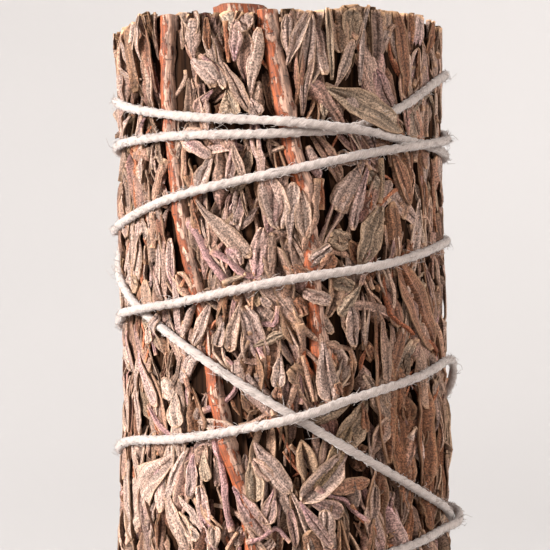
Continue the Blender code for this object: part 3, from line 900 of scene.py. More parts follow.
# The leaves that lie on top at the front: the angle and height of the foot, those of the tip, the width,
# the kind, the colour and how much darker the leaf is than most. Heights and widths are millimetres. True
# marks a leaf that lies over the string.
TOP_LEAVES = (
    (-56, 95.5, -56, 101, 0.9, "rolled", "grey", -0.15),
    (-51, 89.5, -53, 96, 1.2, "blade", "tan", -0.25),
    (-49, 95.5, -50, 101, 0.9, "rolled", "grey", -0.1),
    (-89, 98, -69, 101.5, 1.1, "rolled", "grey", -0.15),
    (-57, 93.5, -85, 97, 0.8, "rolled", "grey", -0.15),
    (-66, 95, -72, 99, 1.0, "curled", "grey", -0.05),
    (-31, 95, -31, 99.5, 1.8, "creased", "grey", 0),
    (-25, 95.5, -26, 99.5, 0.9, "blade", "brown", 0.25),
    (-32, 95, -21, 92, 1.9, "curled", "grey", -0.15),
    (-20, 94.5, -11, 89, 1.4, "creased", "tan", -0.05),
    (-11, 90.5, -8, 98, 1.6, "creased", "tan", -0.2),
    (-7, 94.5, -3, 88.5, 1.1, "blade", "tan", 0.05),
    (-19, 91.5, -17, 88.5, 2.2, "spoon", "olive", 0),
    (-24, 91.5, -30, 89, 1.6, "spoon", "purple", 0),
    (-11, 90.5, -8, 88.5, 1.6, "spoon", "grey", 0),
    (-31, 92, -32, 89.5, 0.8, "rolled", "tan", 0),
    (-14, 99.5, -11, 98, 2.2, "torn", "grey", 0.05),
    (-16, 94.5, -15, 99, 1.5, "blade", "purple", 0.05),
    (2, 94.5, 1, 99.5, 1.4, "blade", "grey", 0.05),
    (1, 94, 8, 100, 1.4, "blade", "grey", 0),
    (6, 88.5, 9, 99.5, 1.6, "blade", "grey", 0.05),
    (16, 92.5, 14, 100.5, 1.0, "rolled", "olive", -0.15),
    (23, 96, 23, 100.5, 2.4, "curled", "olive", 0.15),
    (17, 91.5, 23, 97, 1.2, "creased", "tan", -0.15),
    (24, 96, 28, 100.5, 0.8, "rolled", "tan", -0.1),
    (26, 92, 28, 101, 1.0, "rolled", "grey", -0.15),
    (32, 95, 32, 100.5, 1.6, "torn", "grey", 0.25),
    (36, 97, 37, 98.5, 1.0, "torn", "grey", 0),
    (31, 94.5, 40, 89, 2.4, "blade", "purple", 0.2),
    (47, 91, 41, 101, 2.0, "blade", "brown", 0.12),
    (50, 96, 48, 101, 1.4, "blade", "brown", 0.2),
    (62, 96.5, 67, 100.5, 1.6, "blade", "brown", 0.2),
    (53, 91.5, 55, 97, 1.1, "rolled", "brown", 0.15),
    (49, 89, 61, 92, 0.8, "rolled", "olive", 0),
    (71, 89.5, 61, 92, 0.8, "rolled", "olive", 0.1),
    (13, 88, 14, 91, 1.1, "blade", "olive", 0),
    (20, 88, 17, 90.5, 1.3, "blade", "tan", 0.1),
    (20, 92, 23, 94, 0.7, "curled", "grey", 0),
    (13, 91.6, 41, 87.2, 3.3, "kite", "olive", 0.05, True),
    (-66, 89.5, -75, 86.5, 1.3, "blade", "grey", -0.2),
    (-55, 89, -59, 86.5, 1.0, "rolled", "purple", -0.15),
    (-56, 85, -56, 81.5, 0.9, "blade", "grey", -0.15),
    (-50, 86.5, -50, 83, 0.9, "rolled", "grey", 0),
    (-75, 82.5, -72, 79, 1.0, "rolled", "tan", -0.15),
    (-35, 86, -24, 84, 1.3, "creased", "purple", -0.05),
    (-23, 85, -29, 80.5, 1.8, "spoon", "grey", -0.15),
    (-16, 86, -18, 81, 1.2, "blade", "purple", 0.05),
    (-17, 86, -12, 81, 1.0, "blade", "tan", 0),
    (-7, 86, -1, 85, 0.9, "rolled", "tan", -0.1),
    (-7, 83, -1, 76, 2.8, "blade", "grey", 0),
    (2, 74, 3, 81, 1.5, "spoon", "grey", -0.05),
    (-18, 80, -19, 76.5, 0.8, "rolled", "purple", 0.15),
    (-16, 80.5, -16, 76.5, 0.8, "rolled", "grey", 0),
    (-14, 80.5, -12, 77.5, 0.7, "rolled", "tan", 0.05),
    (-8, 78.5, -15, 76, 1.0, "creased", "grey", 0),
    (-31, 79.5, -11, 73, 1.9, "spoon", "tan", -0.1),
    (-42, 79, -49, 75, 1.1, "spoon", "grey", -0.05),
    (-57, 78, -54, 75, 1.1, "spoon", "tan", -0.2),
    (-29, 77.5, -26, 75, 1.0, "rolled", "grey", 0),
    (-32, 79.5, -28, 75.5, 0.7, "rolled", "brown", 0.1),
    (-70, 78, -89, 74.5, 1.0, "rolled", "grey", -0.15),
    (-63, 78, -64, 72.5, 1.0, "blade", "tan", -0.15),
    (28, 84, 18, 78, 2.8, "spoon", "grey", 0.05),
    (30, 84, 23, 76, 1.3, "spoon", "purple", 0),
    (35, 78, 38, 81.5, 1.6, "spoon", "grey", 0.15),
    (40, 85, 48, 79, 2.0, "blade", "brown", 0.1),
    (14, 83, 26, 83.5, 1.0, "rolled", "tan", 0.05),
    (56, 85.5, 60, 75.5, 1.5, "blade", "brown", 0.15),
    (66, 84.5, 67, 76, 1.0, "rolled", "brown", 0.1),
    (5, 80.5, 7, 75, 1.9, "blade", "tan", -0.05),
    (-72, 75, -69, 69, 1.1, "blade", "grey", -0.15),
    (-59, 76, -63, 71.5, 1.0, "blade", "tan", -0.1),
    (-51, 72.5, -54, 68, 1.0, "rolled", "purple", -0.1),
    (-47, 75, -47, 69, 1.0, "blade", "grey", -0.1),
    (-40, 69, -41, 75, 1.4, "blade", "purple", -0.1),
    (-50, 72, -44, 68, 0.7, "rolled", "purple", -0.05),
    (-46, 68, -51, 72.5, 0.7, "rolled", "tan", 0),
    (-9, 70, -7, 76, 2.2, "blade", "purple", -0.02),
    (-4, 70, -4, 75.5, 1.1, "blade", "tan", 0.1),
    (-18, 74, -14, 72, 1.5, "torn", "purple", 0),
    (-23, 72.5, -24, 69, 1.0, "blade", "tan", 0),
    (-31, 67.5, -36, 64, 1.3, "rolled", "grey", -0.05),
    (-25, 68, -31, 63, 1.4, "blade", "grey", -0.1),
    (-14, 68.5, -18, 62.5, 1.5, "spoon", "tan", -0.1),
    (-20, 66, -22, 63, 1.5, "spoon", "grey", 0),
    (-10, 63, 0, 64.5, 1.0, "curled", "olive", 0),
    (-8, 68.5, -4, 67.5, 0.9, "curled", "grey", 0.05),
    (-13, 65.5, -13, 61.5, 0.8, "rolled", "tan", 0),
    (-43, 66.5, -53, 63, 1.3, "blade", "grey", -0.2, True),
    (-54, 65.5, -53, 63, 1.6, "spoon", "tan", -0.2),
    (-75, 64.5, -63, 59.5, 1.1, "blade", "purple", -0.1),
    (-59, 63, -63, 57, 1.1, "blade", "grey", -0.1),
    (-41, 63, -43, 58.5, 0.9, "rolled", "tan", 0.05),
    (-36, 62, -40, 58, 1.0, "rolled", "tan", 0.1),
    (8, 72, 15, 74, 1.3, "torn", "grey", -0.1),
    (12, 71.5, 16, 73, 1.5, "torn", "brown", 0.05),
    (0, 72, 9, 71, 1.0, "torn", "brown", 0),
    (3, 69, 16, 64.5, 1.5, "creased", "tan", -0.05),
    (4, 68.5, 7, 66.5, 1.4, "torn", "brown", 0.05),
    (6, 69, 15, 68, 1.4, "torn", "grey", 0),
    (26, 70, 18, 66.5, 1.4, "spoon", "olive", 0.05),
    (16, 70, 23, 69.5, 1.5, "torn", "olive", 0.1),
    (40, 73.5, 62, 62.5, 4.0, "blade", "brown", 0.08),
    (34, 66, 36, 58.5, 1.3, "blade", "tan", 0.12),
    (39, 65.5, 41, 58.5, 1.4, "blade", "tan", 0.15),
    (22, 68, 23, 63, 1.6, "blade", "grey", 0.1),
    (28, 68, 27, 63, 1.0, "rolled", "brown", 0.2),
    (12, 64, 15, 57, 2.5, "spoon", "grey", 0.05),
    (29, 63.5, 31, 61.5, 1.1, "torn", "brown", 0.1),
    (35, 79, 26, 72, 2.9, "blade", "olive", 0.12),
    (40, 75, 37, 72, 0.9, "rolled", "purple", 0.15),
    (48, 75, 47, 71.5, 1.3, "blade", "brown", 0.2),
    (59, 72.5, 66, 64.5, 1.3, "blade", "brown", 0.15),
    (-62, 62.5, -48, 56, 1.6, "spoon", "purple", -0.15),
    (-39, 56.5, -45, 59.2, 2.0, "kite", "pale", -0.3),
    (-39, 58, -38, 53.8, 2.2, "spoon", "pale", -0.3),
    (-27, 58, -32, 52.5, 1.5, "creased", "grey", -0.1),
    (-20, 58, -11, 55, 1.4, "creased", "brown", 0.05),
    (-12, 60, -7, 57, 1.1, "rolled", "grey", 0),
    (-1, 62.5, -2, 58.5, 1.5, "spoon", "grey", -0.2),
    (-2, 57, -2, 58.5, 1.0, "torn", "rust", 0),
    (-16, 61.5, -14, 59, 1.3, "torn", "grey", 0),
    (-72, 59, -69, 52.5, 1.1, "blade", "grey", -0.15),
    (-63, 58.5, -59, 52.5, 1.2, "blade", "grey", -0.1),
    (-53, 53, -55, 56.5, 0.9, "rolled", "brown", 0.1),
    (6, 60.5, 9, 56.5, 0.8, "rolled", "tan", 0),
    (10, 60.5, 11, 57, 0.9, "rolled", "tan", 0.05),
    (18, 57.5, 17, 59, 0.9, "torn", "brown", 0.05),
    (23, 59.5, 22, 62.5, 1.0, "rolled", "brown", 0.1),
    (23, 57, 6, 54.5, 2.2, "blade", "olive", 0.08),
    (29, 57, 18, 51, 2.9, "blade", "olive", 0.08),
    (26, 57, 28, 53.5, 1.0, "spoon", "brown", 0.05),
    (32, 67, 36, 50, 2.6, "blade", "brown", 0.1),
    (41, 60, 46, 44.5, 3.2, "blade", "brown", 0.1),
    (53, 60, 55, 46.5, 3.6, "blade", "brown", 0.15),
    (59, 56.5, 60, 51, 1.5, "blade", "brown", 0.2),
    (67, 56, 74, 43, 3.4, "blade", "brown", 0.2),
    (78, 61, 84, 53, 3.6, "blade", "tan", 0.1),
    (48, 44.5, 46, 39.5, 1.6, "blade", "brown", 0.15),
    (-34, 51.5, -43, 45.5, 1.4, "blade", "grey", -0.15),
    (-43, 46.5, -33, 40, 2.0, "blade", "tan", -0.15),
    (-31, 51, -32, 46, 1.5, "blade", "purple", -0.2),
    (-27, 51.5, -26, 48, 1.3, "spoon", "olive", -0.1),
    (-26, 42.5, -28, 47.5, 1.6, "torn", "purple", -0.2),
    (-11, 51.5, -9, 46, 2.1, "spoon", "olive", -0.1),
    (-13, 51.5, -13, 49, 1.2, "spoon", "grey", 0),
    (-17, 47.5, -5, 42, 2.1, "creased", "purple", 0.05),
    (-10, 52.5, 2, 47, 2.2, "creased", "grey", -0.1),
    (-3, 47.5, -6, 43.5, 1.8, "spoon", "purple", 0.02),
    (-1, 46.5, -2, 42.5, 0.8, "rolled", "purple", 0.05),
    (2, 46, 4, 41, 1.1, "blade", "purple", 0.05),
    (-50, 45.5, -55, 39, 1.5, "blade", "grey", 0),
    (-47, 44, -47, 39.5, 1.1, "rolled", "brown", 0.15),
    (-34, 43, -29, 41.5, 1.3, "torn", "pale", -0.15),
    (-23, 40, -23, 43, 1.5, "spoon", "tan", -0.1),
    (-14, 43, -16, 41, 1.3, "torn", "grey", 0),
    (-7, 40.5, -3, 41.5, 1.1, "torn", "grey", 0),
    (21, 51.5, 6, 46, 2.9, "blade", "grey", 0.02),
    (5, 52, 9, 49.5, 1.1, "rolled", "grey", 0.05),
    (12, 47, 28, 48, 1.6, "creased", "brown", 0),
    (6, 46.5, 19, 44.5, 1.8, "spoon", "purple", 0.02),
    (29, 43, 30, 47.5, 1.3, "blade", "grey", 0.1),
    (21, 40.5, 20, 44.5, 1.0, "rolled", "tan", 0.05),
    (14, 40.5, 13, 45, 2.0, "blade", "grey", 0.05),
    (2, 47, 10, 40, 1.1, "rolled", "tan", -0.05),
    (5, 46, 15, 41, 1.3, "blade", "purple", 0.08),
    (36, 44.5, 38, 46.5, 1.3, "torn", "purple", 0.1),
    (56, 48.5, 60, 41.5, 2.2, "blade", "brown", 0.15),
    (-36, 51.6, -79, 41, 5.6, "fan", "tan", -0.25),
)

# Stalks and twigs on top: colour, thickness in millimetres, and the angles and heights that each passes.
TOP_TWIGS = (
    ("grey", 0.6, ((-36, 94), (-36, 93), (-37, 92.5), (-41, 91), (-44, 90))),
    ("red", 0.7, ((-19, 99), (-19, 97.5), (-19, 94.5))),
    ("grey", 0.6, ((14, 92), (18, 91.5), (23, 91))),
    ("tan", 0.6, ((60, 95), (56, 94), (52, 93), (51, 92.5))),
    ("brown", 0.4, ((-85, 83.5), (-85, 85), (-65, 85.5), (-61, 84.5), (-63, 82.5), (-72, 82))),
    ("red", 0.7, ((-65, 86.5), (-64, 83.5), (-62, 81), (-61, 78))),
    ("tan", 1.0, ((-44, 84), (-46, 81.5), (-48, 79.5), (-50, 77), (-51, 74))),
    ("grey", 0.5, ((-13, 86), (-12, 85), (-9, 84), (-7, 84), (-4, 84.5), (0, 85))),
    ("purple", 1.0, ((-35, 77), (-30, 75.5), (-26, 73), (-21, 71), (-17, 69))),
    ("tan", 0.9, ((11, 81.5), (10, 79), (10, 77), (7, 75), (7, 73))),
    ("olive", 0.6, ((34, 84), (35, 81.5), (34, 79))),
    ("tan", 0.5, ((46, 85), (50, 83), (53, 82), (49, 79), (47, 76.5), (45, 74.5))),
    ("purple", 0.9, ((-24, 73.5), (-18, 72.5), (-13, 71), (-7, 70.5))),
    ("pale", 0.6, ((-20, 70), (-16, 70.5), (-12, 71))),
    ("brown", 0.6, ((-18, 66.5), (-22, 66), (-26, 64.5), (-28, 63))),
    ("purple", 0.7, ((-12, 65.5), (-7, 65.5), (-3, 65.5), (-2, 67.5))),
    ("tan", 0.6, ((-12, 64.5), (-4, 65), (6, 66.5))),
    ("tan", 1.0, ((1, 70), (0, 68), (2, 66.5), (5, 65.5))),
    ("grey", 0.5, ((12, 70), (15, 69), (16, 68))),
    ("tan", 0.5, ((28, 70.5), (30, 69), (34, 68), (35, 65.5))),
    ("rust", 0.6, ((36, 71), (36, 69), (38, 66.5), (45, 65), (52, 64), (61, 63), (71, 61))),
    ("tan", 0.3, ((32, 70.5), (36, 69), (38, 67))),
    ("tan", 0.7, ((6, 65), (10, 64), (17, 63), (23, 62.5), (25, 61))),
    ("tan", 0.3, ((25, 61), (23, 59), (18, 58.5), (14, 57))),
    ("tan", 0.6, ((52, 63.5), (46, 62.5), (51, 62), (51, 60.5))),
    ("purple", 0.8, ((-53, 56), (-50, 54.5), (-46, 53.5), (-40, 52.5), (-35, 52))),
    ("red", 0.5, ((-5, 62), (-5, 60), (-6, 59), (-7, 56.5))),
    ("tan", 0.9, ((5, 65.5), (6, 63), (5, 61), (4, 59), (1, 56))),
    ("tan", 0.6, ((6, 62), (8, 59.5), (10, 57))),
    ("rust", 0.3, ((54, 60), (50, 59.5), (51, 58), (52, 57.5), (50, 56.5))),
    ("tan", 0.2, ((23, 55), (22, 53.5), (21, 52))),
    ("red", 0.6, ((84, 58.5), (84, 57), (84, 55.5))),
    ("purple", 1.0, ((-24, 53), (-22, 50), (-20, 47.5), (-19, 45), (-17, 42.5))),
    ("purple", 0.6, ((-12, 41.5), (-7, 42), (-3, 43), (2, 41.5))),
    ("tan", 0.6, ((-19, 40.5), (-17, 41.5), (-15, 42.5))),
    ("purple", 0.7, ((10, 47.5), (15, 46.5), (20, 46), (24, 44.5), (28, 43.5))),
    ("rust", 0.3, ((29, 43), (32, 41.5))),
    ("tan", 0.3, ((27, 43.5), (25, 41))),
    ("tan", 0.3, ((35, 44), (34, 42.5), (35, 40))),
    ("tan", 0.3, ((26, 74.5), (23, 72.5))),
    ("rust", 0.3, ((42, 57), (40, 54), (42, 50.5))),
)

# Holes between the leaves: angle, height and radius in millimetres.
HOLES = (
    (-35, 91, 0.4), (-32, 90, 0.3), (-23, 82, 0.8), (-11, 82.5, 0.4), (-10, 80, 0.4), (-20, 78, 0.4),
    (40, 94, 0.6), (42, 92, 0.6), (15, 93.5, 0.6), (16, 81, 0.6), (-27, 73, 0.4), (-7, 66.5, 0.7),
    (10, 65.5, 0.6), (31, 67, 0.4), (31, 64.5, 0.4), (45, 67, 0.4), (-30, 60.5, 0.4), (-18, 57, 0.4),
    (-5, 51.5, 0.6), (0, 57.5, 0.4), (13, 57.5, 0.3), (22, 81.5, 0.4), (-13, 83, 0.3), (28, 54, 0.3),
    (23, 47, 0.4),
)


def leave_holes(layer):
    """Keeps the leaves that are laid at random off the holes."""
    for degrees, height, radius in HOLES:
        reach = np.linspace(-radius, radius, 9) * MM
        across, up = np.meshgrid(reach, reach)
        inside = across**2 + up**2 <= (radius * MM) ** 2
        angles = degrees + np.degrees(across[inside] / STRING_LIES_AT)
        layer.heap.clear[layer.heap.cells(angles, height * MM + up[inside])] = True


# How the leaves that are laid at random share out among the kinds.
KIND_SHARES = {
    "spoon": 0.17, "blade": 0.16, "creased": 0.15, "rolled": 0.28, "curled": 0.08, "torn": 0.08,
    "strip": 0.08,
}
# How a kind's length and width differ from those of most leaves.
KIND_SIZES = {"torn": (0.45, 1), "strip": (1, 0.4), "rolled": (1, 1.15)}


def lay_bare_stem(layer, growth, radius, red, bare, route):
    """A stem on the outside, and the stretches of it that stay bare."""
    known = np.array(route[::-1])
    heights = fine_steps(known[0, 0] * MM, known[-1, 0] * MM, 0.6 * MM)
    angles = smooth_through(known[:, 0] * MM, known[:, 1], heights)
    radii = BARE_STEMS_LIE_AT + 0.2 * MM * waver(heights, layer.rng, 2, 40 * MM)
    radii = radii + np.minimum(0, swell(angles, heights))
    reach = layer.leaves.reach + swell(angles, heights)
    limit = layer.line.limit(angles, heights, reach, layer.string.radius)
    radii = np.minimum(radii, limit - 0.95 * radius)
    grow_stem(growth, around(angles, radii, heights), radius, red, layer.rng, bias=-0.17)
    fine = np.linspace(0, len(heights) - 1, 6 * len(heights)).round().astype(int)
    for side in np.linspace(-1, 1, 7):
        wide = angles + side * np.degrees(radius / STRING_LIES_AT)
        outer = radii + radius * math.sqrt(1.05 - side * side)
        layer.heap.cover(wide[fine], heights[fine], outer[fine])
        for low, high in bare:
            open_here = fine[(heights[fine] > low * MM) & (heights[fine] < high * MM)]
            layer.heap.clear[layer.heap.cells(wide[open_here], heights[open_here])] = True


def lay_outer_leaves(layer):
    """Fills the outside of the bundle, always where it is thinnest of a few random places."""
    rng, leaves = layer.rng, layer.leaves
    kinds, shares = zip(*KIND_SHARES.items())
    laid = tries = 0
    while laid < leaves.count and tries < 2 * leaves.count:
        tries += 1
        kind = rng.choice(kinds, p=shares)
        length = float(np.clip(rng.gamma(6, 1.3), 3.5, 17)) * MM
        width = float(rng.uniform(1.9, 3.9)) * MM * (0.7 + 0.3 * length / (9 * MM))
        longer, wider = KIND_SIZES.get(kind, (1, 1))
        length, width = length * longer, width * wider
        spots = [(rng.uniform(-180, 180), rng.uniform(-5, 99) * MM) for _ in range(12)]
        depth = []
        for degrees, height in spots:
            angles = degrees + np.linspace(-3, 3, 3)[:, None] + 0 * np.linspace(0, 1, 4)
            heights = height + np.linspace(0.1, 0.9, 4)[None] * length + 0 * angles
            depth.append(layer.heap.reach[layer.heap.cells(angles, heights)].mean())
        degrees, height = spots[int(np.argmin(depth))]
        if abs(degrees) < FRONT_REACHES and height > FRONT_STARTS * MM:
            length, width = min(length, 9 * MM), min(width, 3.1 * MM)
        tilt = math.radians(rng.normal(LEAN, 17) if rng.random() < 0.7 else rng.normal(LEAN, 42))
        if rng.random() < 0.55:
            height, tilt = height + length * math.cos(tilt), tilt + math.pi
        tone = rng.beta(1.0, 1.8), rng.beta(0.5, 4.5), rng.beta(0.5, 3.2)
        rows = 8 if length < 8 * MM else 11
        tuck = rng.uniform(0, 1.3) * MM
        if not layer.lay(degrees, height, length, width, kind, tilt, tone, rows=rows, tuck=tuck):
            continue
        laid += 1
        if rng.random() < leaves.twigs / leaves.count:
            lay_loose_twig(layer, *spots[1])
    for _ in range(leaves.twigs // 4):
        lay_loose_twig(layer, rng.uniform(-180, 180), rng.uniform(2, 96) * MM)


def lay_loose_twig(layer, degrees, height):
    """A bent stalk, mostly upright."""
    rng = layer.rng
    tilt = math.radians(rng.normal(LEAN, 30) if rng.random() < 0.85 else rng.normal(50, 15))
    bend = rng.normal(0, 0.35)
    points = []
    for _ in range(int(rng.integers(3, 6))):
        points.append((degrees, np.clip(height / MM, 1, 99), 0.15 * rng.normal()))
        step = rng.uniform(1.5, 2.6) * MM
        degrees += math.degrees(step * math.sin(tilt) / STRING_LIES_AT)
        height += step * math.cos(tilt)
        tilt += bend + rng.normal(0, 0.2)
    tone = TONES[rng.choice(("grey", "tan", "tan", "brown", "purple", "red"))]
    places = np.array(points)
    if not layer.heap.clear[layer.heap.cells(places[:, 0], places[:, 1] * MM)].any():
        layer.lay_twig(points, rng.uniform(0.35, 0.85) * MM, tone, sides=7)


def lay_top(layer):
    """The leaves, then the stalks, that lie on top at the front."""
    for number, (foot, low, tip, high, width, kind, tone, shade, *over) in enumerate(TOP_LEAVES):
        layer.rng = np.random.default_rng(number)
        east = math.radians(tip - foot) * STRING_LIES_AT
        up = (high - low) * MM
        length, tilt = 1.02 * math.hypot(east, up), math.atan2(east, up)
        layer.lay(
            foot, low * MM, length, 1.15 * width * MM, kind, tilt, TONES[tone], shade=shade, wild=0.6,
            rows=12, nestle=80, tuck=0.4 * MM, free=True, over=bool(over),
        )
    for tone, thickness, points in TOP_TWIGS:
        layer.lay_twig([(*point, 0.1) for point in points], thickness * MM, TONES[tone], tip=0.8)


# ---------------------------------------------------------------------------------------------------------
# Sprigs: packed leaf inside, stems


def base_outline(node):
    """The node's outline in the bottom saw cut, in order round its middle."""
    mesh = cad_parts[node].data
    points = np.empty(len(mesh.vertices) * 3)
    mesh.vertices.foreach_get("co", points)
    points = points.reshape(-1, 3)
    points = np.unique(points[points[:, 2] < 0.01 * MM][:, :2].round(7), axis=0)
    middle = points.mean(axis=0)
    order = np.argsort(np.arctan2(*(points - middle).T[::-1]))
    return points[order]


def inside_by(outline, point):
    """How far a point lies inside a convex outline."""
    edge = np.roll(outline, -1, axis=0) - outline
    inward = np.stack([-edge[:, 1], edge[:, 0]], -1) / np.linalg.norm(edge, axis=1, keepdims=True)
    return float(np.min(np.sum((point - outline) * inward, axis=1)))


def turned(points, height):
    """Places in the bottom saw cut, carried up their sprig to this height."""
    angle = math.radians(-TWIST * height / LENGTH)
    c, s = math.cos(angle), math.sin(angle)
    return np.stack([points[..., 0] * c - points[..., 1] * s, points[..., 0] * s + points[..., 1] * c], -1)


# Leaf strips inside a sprig: their distance from each other, and how many places are tried.
STRIP_SPACING = 0.84 * MM
STRIP_TRIES = 360
# The rings of a sawn face between its pith and its edge, as shares of the stem's radius.
SAWN_FACE = (0.02, 0.5)


def pack_strips(growth, outline, stem_radius, rng, leaves, filled=0.93):
    """Pressed leaves that run the whole length of a sprig, round its stem, seen on edge in both saw cuts."""
    low, high = outline.min(axis=0), outline.max(axis=0)
    grain = rng.uniform(0, math.pi)
    middle = outline.mean(axis=0)
    placed = []
    for _ in range(STRIP_TRIES):
        point = rng.uniform(low, high)
        if inside_by(outline, point) < 0.3 * MM or np.hypot(*(point - middle)) < stem_radius:
            continue
        if any(np.hypot(*(point - other)) < STRIP_SPACING for other in placed):
            continue
        placed.append(point)
    t = np.linspace(-1, 1, 6)
    for point in placed:
        half = rng.uniform(0.8, 1.7) * MM
        bow = rng.uniform(-1.4, 1.4)
        bow = bow if abs(bow) > 0.2 else 0.2
        x = half * np.sin(bow * t) / bow
        y = half * (1 - np.cos(bow * t)) / bow + 0.12 * MM * np.sin(rng.uniform(2, 5) * t + rng.random() * 6)
        thick = rng.uniform(0.3, 0.5) * MM
        profile = np.concatenate([np.stack([x, y + thick / 2], -1), np.stack([x, y - thick / 2], -1)[::-1]])
        lie = grain + rng.normal(0, 0.45)
        c, s = math.cos(lie), math.sin(lie)
        profile = profile @ np.array([[c, s], [-s, c]])
        spot = turned(point, LENGTH)
        above = float(rim(math.degrees(math.atan2(spot[0], -spot[1])))) - LENGTH
        above = above * np.hypot(*spot) / STRING_LIES_AT
        foot, top = rng.uniform(0.02, 0.5) * MM, LENGTH + above - rng.uniform(0.02, 0.6) * MM
        crisp = 0.25 * MM
        heights = np.array([foot, foot + crisp, *np.linspace(foot, top, 7)[1:-1], top - crisp, top])
        sway = np.stack([waver(heights, rng, 2, 40 * MM), waver(heights, rng, 2, 40 * MM)], -1) * 0.25 * MM
        rings = []
        for height, off in zip(heights, sway):
            spot = turned(point + off + profile, height)
            distance = np.hypot(*spot.T)
            spot = spot * np.minimum(1, (leaves.floor - 0.1 * MM) / np.maximum(distance, 1e-6))[:, None]
            rings.append(np.column_stack([spot, np.full(len(spot), height)]))
        rings = np.array(rings)
        across = np.broadcast_to(np.concatenate([t, t[::-1]]) * half / MM, rings.shape[:2])
        along = np.broadcast_to(heights[:, None] / MM, across.shape)
        # The strips' sides are painted dark, as painted shade deep inside the sprig. Their cut ends are
        # lighter.
        shade = np.full(across.shape, rng.uniform(0.7, 0.88))
        shade[[0, -1]] = rng.uniform(-0.1, 0.4)
        blade = np.stack([across + rng.uniform(9, 6000), along, shade], -1)
        pale = np.zeros(across.shape)
        pale[[0, -1]] = rng.uniform(0.3, 0.9)
        tone = np.broadcast_to((rng.beta(1.5, 2.0), rng.beta(0.6, 3), rng.beta(0.5, 6)), (*across.shape, 3))
        growth.add(rings, blade, np.concatenate([tone, pale[..., None]], -1))
    # Broken leaf fills what is left between them, deeper than the saw cuts. It is painted near black, with
    # dark brown ends: painted shade in the gaps.
    core = middle + (outline - middle) * filled
    core = np.concatenate([core, core[-1:]]) if len(core) % 2 else core
    heights = np.concatenate([[0.9, 1.3], np.linspace(9, 91, 6), [98.2, 98.6]]) * MM
    rings = np.array([np.column_stack([turned(core, h), np.full(len(core), h)]) for h in heights])
    blade = rings / MM * (0.5, 0.5, 0) + (0, 0, 0.9)
    blade[[0, -1], :, 2] = 0.55
    growth.add(rings, blade, (1.0, 0.1, 0.0, 0.0))


def grow_stem(growth, path, radius, red, rng, sides=14, knots=9 * MM, bias=0.0):
    """A woody stem with slight swellings, ridged bark and sawn ends."""
    length = run_along(path)
    off_knot = ((length % knots) - knots / 2) / (0.8 * MM)
    thickness = 1 + 0.10 * waver(length, rng, 3, knots * 2) + 0.18 * np.exp(-(off_knot**2))
    turn = full_turn(sides)
    ridged = 1 + 0.06 * np.sin(3 * turn + rng.random() * 6)[None]
    ridged = ridged + 0.05 * np.sin(5 * turn[None] + length[:, None] * 300)
    rough = rng.normal(0, 0.022, (len(path), sides))
    rings = tube_rings(path, radius * thickness, sides, ridged + rough)
    for end in (0, 1, -2, -1):
        rings[end, :, 2] = path[end, 2]
    across = np.broadcast_to(turn * radius / MM, (len(path), sides))
    along = np.broadcast_to(length[:, None] / MM, (len(path), sides))
    blade = np.stack([across + rng.uniform(0, 6000), along, 0 * across], -1)
    pale = np.zeros((len(path), sides))
    pale[[0, -1]] = 1
    # Seen from outside, bark is left on the right of the stem where bias is negative.
    away = rings - path[:, None]
    east = np.stack([-path[:, 1], path[:, 0], 0 * path[:, 0]], -1) / np.hypot(*path[:, :2].T).mean()
    share = red + bias * np.sum(away * east[:, None], -1) / radius
    tone = np.stack([share, pale * 0, pale * 0, pale], -1)
    # Each sawn end is closed towards its pith; the third blade coordinate is the distance from it.
    blade[[0, -1], :, 2] = radius / MM
    faces = []
    for end in (0, -1):
        face = [path[end] + part * away[end] for part in SAWN_FACE]
        marks = np.stack([blade[end]] * 2)
        marks[..., 2] = np.array(SAWN_FACE)[:, None] * radius / MM
        faces.append((np.array(face), marks, np.stack([tone[end]] * 2)))
    low, high = faces
    parts = [np.concatenate([low[k], body, high[k][::-1]]) for k, body in enumerate((rings, blade, tone))]
    growth.add(*parts)


def fine_steps(low, high, step):
    """Heights from low to high, with one more ring close to each end so that a sawn end stays crisp."""
    inner = np.linspace(low, high, max(3, int((high - low) / step)))
    return np.concatenate([[inner[0], inner[0] + 0.08 * MM], inner[1:-1], [inner[-1] - 0.08 * MM, inner[-1]]])


def inner_stem(centre, radius, rng):
    """The stem inside a sprig, sawn off at both ends."""
    stem = Growth()
    heights = fine_steps(0.02 * MM, LENGTH + rng.uniform(-0.2, 0.4) * MM, 6 * MM)
    path = np.array([[*turned(centre, h), h] for h in heights])
    grow_stem(stem, path, radius, rng.uniform(0.4, 0.65), rng)
    return stem


# ---------------------------------------------------------------------------------------------------------
# String


def strand_path(line, step):
    """The string's middle line, evenly spaced, and how far along it each point lies."""
    angles = np.linspace(line.first, line.last, int((line.last - line.first) * 6))
    radii = np.interp(angles, line.angles, line.radii)
    heights = np.interp(angles, line.angles, line.heights)
    coarse = around(angles, radii, heights)
    run = run_along(coarse)
    even = np.linspace(0, run[-1], int(run[-1] / step))
    return np.stack([np.interp(even, run, coarse[:, k]) for k in range(3)], -1), even


def grow_strand(growth, path, run, radius, lay, rng, sides=12):
    """Two soft plies that turn round each other."""
    turn = full_turn(sides)
    phase = 2 * math.pi * run / lay
    lobes = 0.97 + 0.11 * np.cos(2 * (turn[None] + phase[:, None]))
    uneven = 1 + 0.05 * waver(run, rng, 4, 7 * MM) + 0.03 * waver(run, rng, 3, 1.7 * MM)
    rings = tube_rings(path, radius * uneven, sides, lobes + rng.normal(0, 0.045, (len(path), sides)))
    across = (turn[None] + phase[:, None]) * radius / MM
    along = np.broadcast_to(run[:, None] / MM, across.shape)
    blade = np.stack([across, along, np.zeros(across.shape)], -1)
    growth.add(rings, blade, (0, 0, 0, 0))


